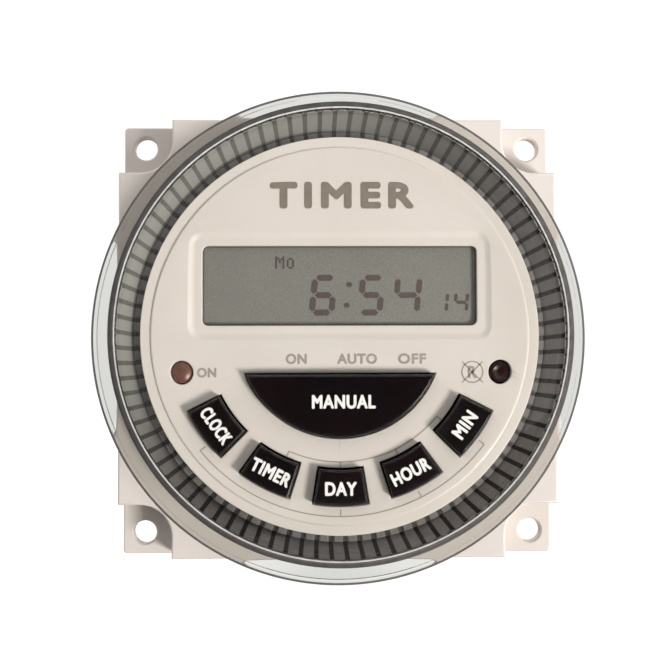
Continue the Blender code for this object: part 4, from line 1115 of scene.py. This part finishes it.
# ---- carried-over CAD nodes
CARRIED = {
    "rail_latch": "latch", "lcd_frame": "dark", "zebra_strip_upper": "rubber", "zebra_strip_lower": "rubber",
    "logic_board": "board", "power_board": "board", "controller_chip": "dark", "clock_crystal": "steel",
    "relay": "relay", "dropper_capacitor": "capacitor", "bridge_rectifier": "dark",
    "smoothing_capacitor": "dark", "backup_battery": "battery", "varistor": "ceramic",
    "fusible_resistor": "rubber", "board_header": "dark",
    "logic_screw_1": "steel", "logic_screw_2": "steel", "power_screw_1": "steel", "power_screw_2": "steel",
}
for key in ("manual", "clock", "timer", "day", "hour", "min", "reset"):
    CARRIED["switch_" + key] = "dark"
    CARRIED["plunger_" + key] = "rubber"


def dress_carried():
    """Materials for the CAD nodes that stay, and soft edges for the latch."""
    for name, material in CARRIED.items():
        for slot in frame["nodes"][name].material_slots:
            slot.material = MATERIALS[material]
    latch = frame["nodes"]["rail_latch"]
    latch.modifiers.new("weld", "WELD").merge_threshold = 0.01 * MM
    soften(latch, 0.2 * MM)


# ---- stage, light and camera
def seen_ray(tree):
    """1 for what the camera sees, also through the clear cover, and 0 for reflections and for light."""
    path = add(tree, "LightPath").outputs
    straight = worked(tree, "LESS_THAN", path["Glossy Depth"], 0.5)
    through = worked(tree, "MULTIPLY", path["Is Transmission Ray"], straight)
    return worked(tree, "MAXIMUM", path["Is Camera Ray"], through)


FLOOR_GAP = 0.0002                # metres under the object
FLOOR_FRONT, FLOOR_BACK, FLOOR_WIDTH = -0.1, 2.0, 3.2
FLOOR_CELLS = 12
FLOOR_LIFT = 1.25                 # brightness that the camera sees, and its share of the floor's look
FLOOR_LIFT_SHARE = 0.75


def stage():
    """Pale floor just under the object; its front edge stays out of the window's reflections."""
    lowest = CAD_BOX[0].z - FLOOR_GAP
    work = bmesh.new()
    bmesh.ops.create_grid(work, x_segments=FLOOR_CELLS, y_segments=FLOOR_CELLS, size=0.5)
    for vert in work.verts:
        reach = (vert.co.y + 0.5) * (FLOOR_BACK - FLOOR_FRONT)
        vert.co = (vert.co.x * FLOOR_WIDTH, FLOOR_FRONT + reach, lowest)
    floor = placed("floor", mesh_of(work, "floor"))
    made, tree, output, place = new_material("floor_paper")
    grain = noise(tree, place, 900.0, 2.0)
    tone = blend_colours(tree, spread(tree, grain), (0.93, 0.93, 0.93), (0.9, 0.9, 0.9))
    paper = add(tree, "BsdfDiffuse", {"Color": tone}).outputs["BSDF"]
    lift = add(tree, "Emission", {"Color": (*[FLOOR_LIFT] * 3, 1.0), "Strength": seen_ray(tree)})
    both = mixed(tree, FLOOR_LIFT_SHARE, paper, lift.outputs["Emission"])
    tree.links.new(both, output.inputs["Surface"])
    floor.data.materials.append(made)
    floor.visible_shadow = False


def world():
    """Pale surroundings, white to the camera, dimmer to the left and below, dark straight before the face."""
    made = bpy.data.worlds.new("studio")
    made.use_nodes = True
    tree = made.node_tree
    tree.nodes.clear()
    output = add(tree, "OutputWorld")
    direction = add(tree, "TexCoord").outputs["Generated"]
    parts = add(tree, "SeparateXYZ", {"Vector": direction})
    gap = ranged(tree, parts.outputs["Y"], (-0.93, -0.78))
    side = ranged(tree, parts.outputs["X"], (-1.0, 1.0), (1.05, 1.22))
    height = ranged(tree, parts.outputs["Z"], (-0.5, 0.3), (0.75, 1.0))
    level = worked(tree, "MULTIPLY", worked(tree, "MULTIPLY", gap, side), height)
    seen = worked(tree, "MAXIMUM", level, seen_ray(tree))
    light = add(tree, "Background", {"Color": (1.0, 1.0, 1.0, 1.0), "Strength": seen})
    tree.links.new(light.outputs["Background"], output.inputs["Surface"])
    bpy.context.scene.world = made


LAMP_AT = Vector((0.64, -0.66, -0.42))
LAMP_TARGET = Vector((0.0, -0.02, 0.0))
LAMP_SIZE = 0.24
LAMP_POWER = 12.0
LAMP_COLOUR = (1.0, 0.985, 0.968)


def key_light():
    """One lamp to the right of, in front of and below the object."""
    data = bpy.data.lights.new("key_light", "AREA")
    data.size = LAMP_SIZE
    data.energy = LAMP_POWER
    data.color = LAMP_COLOUR
    lamp = placed("key_light", data)
    lamp.location = LAMP_AT
    lamp.rotation_euler = (LAMP_TARGET - LAMP_AT).to_track_quat("-Z", "Y").to_euler()


CAMERA_LENS = 67.4
CAMERA_AT = (-0.0047, -0.1866, -0.0057)
CAMERA_TURN = (92.15, 0.17, -1.31)          # degrees


def camera():
    """The photo's view, from slightly left of and below the object's axis."""
    data = bpy.data.cameras.new("camera")
    data.lens = CAMERA_LENS
    data.clip_start = 0.01
    data.clip_end = 20.0
    made = placed("camera", data)
    made.location = CAMERA_AT
    made.rotation_euler = [radians(angle) for angle in CAMERA_TURN]
    bpy.context.scene.camera = made


camera()
stage()
world()
key_light()
bpy.context.scene.view_settings.view_transform = "Standard"

front_housing()
clear_cover()
gap_shade_ring()
face_printing()
keys()
indicator()
reset_button()
display()
rear_housing()
rear_label()
case_screws()
coil, coil_foot = latch_coil()
terminals()
dress_carried()

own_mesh(coil)
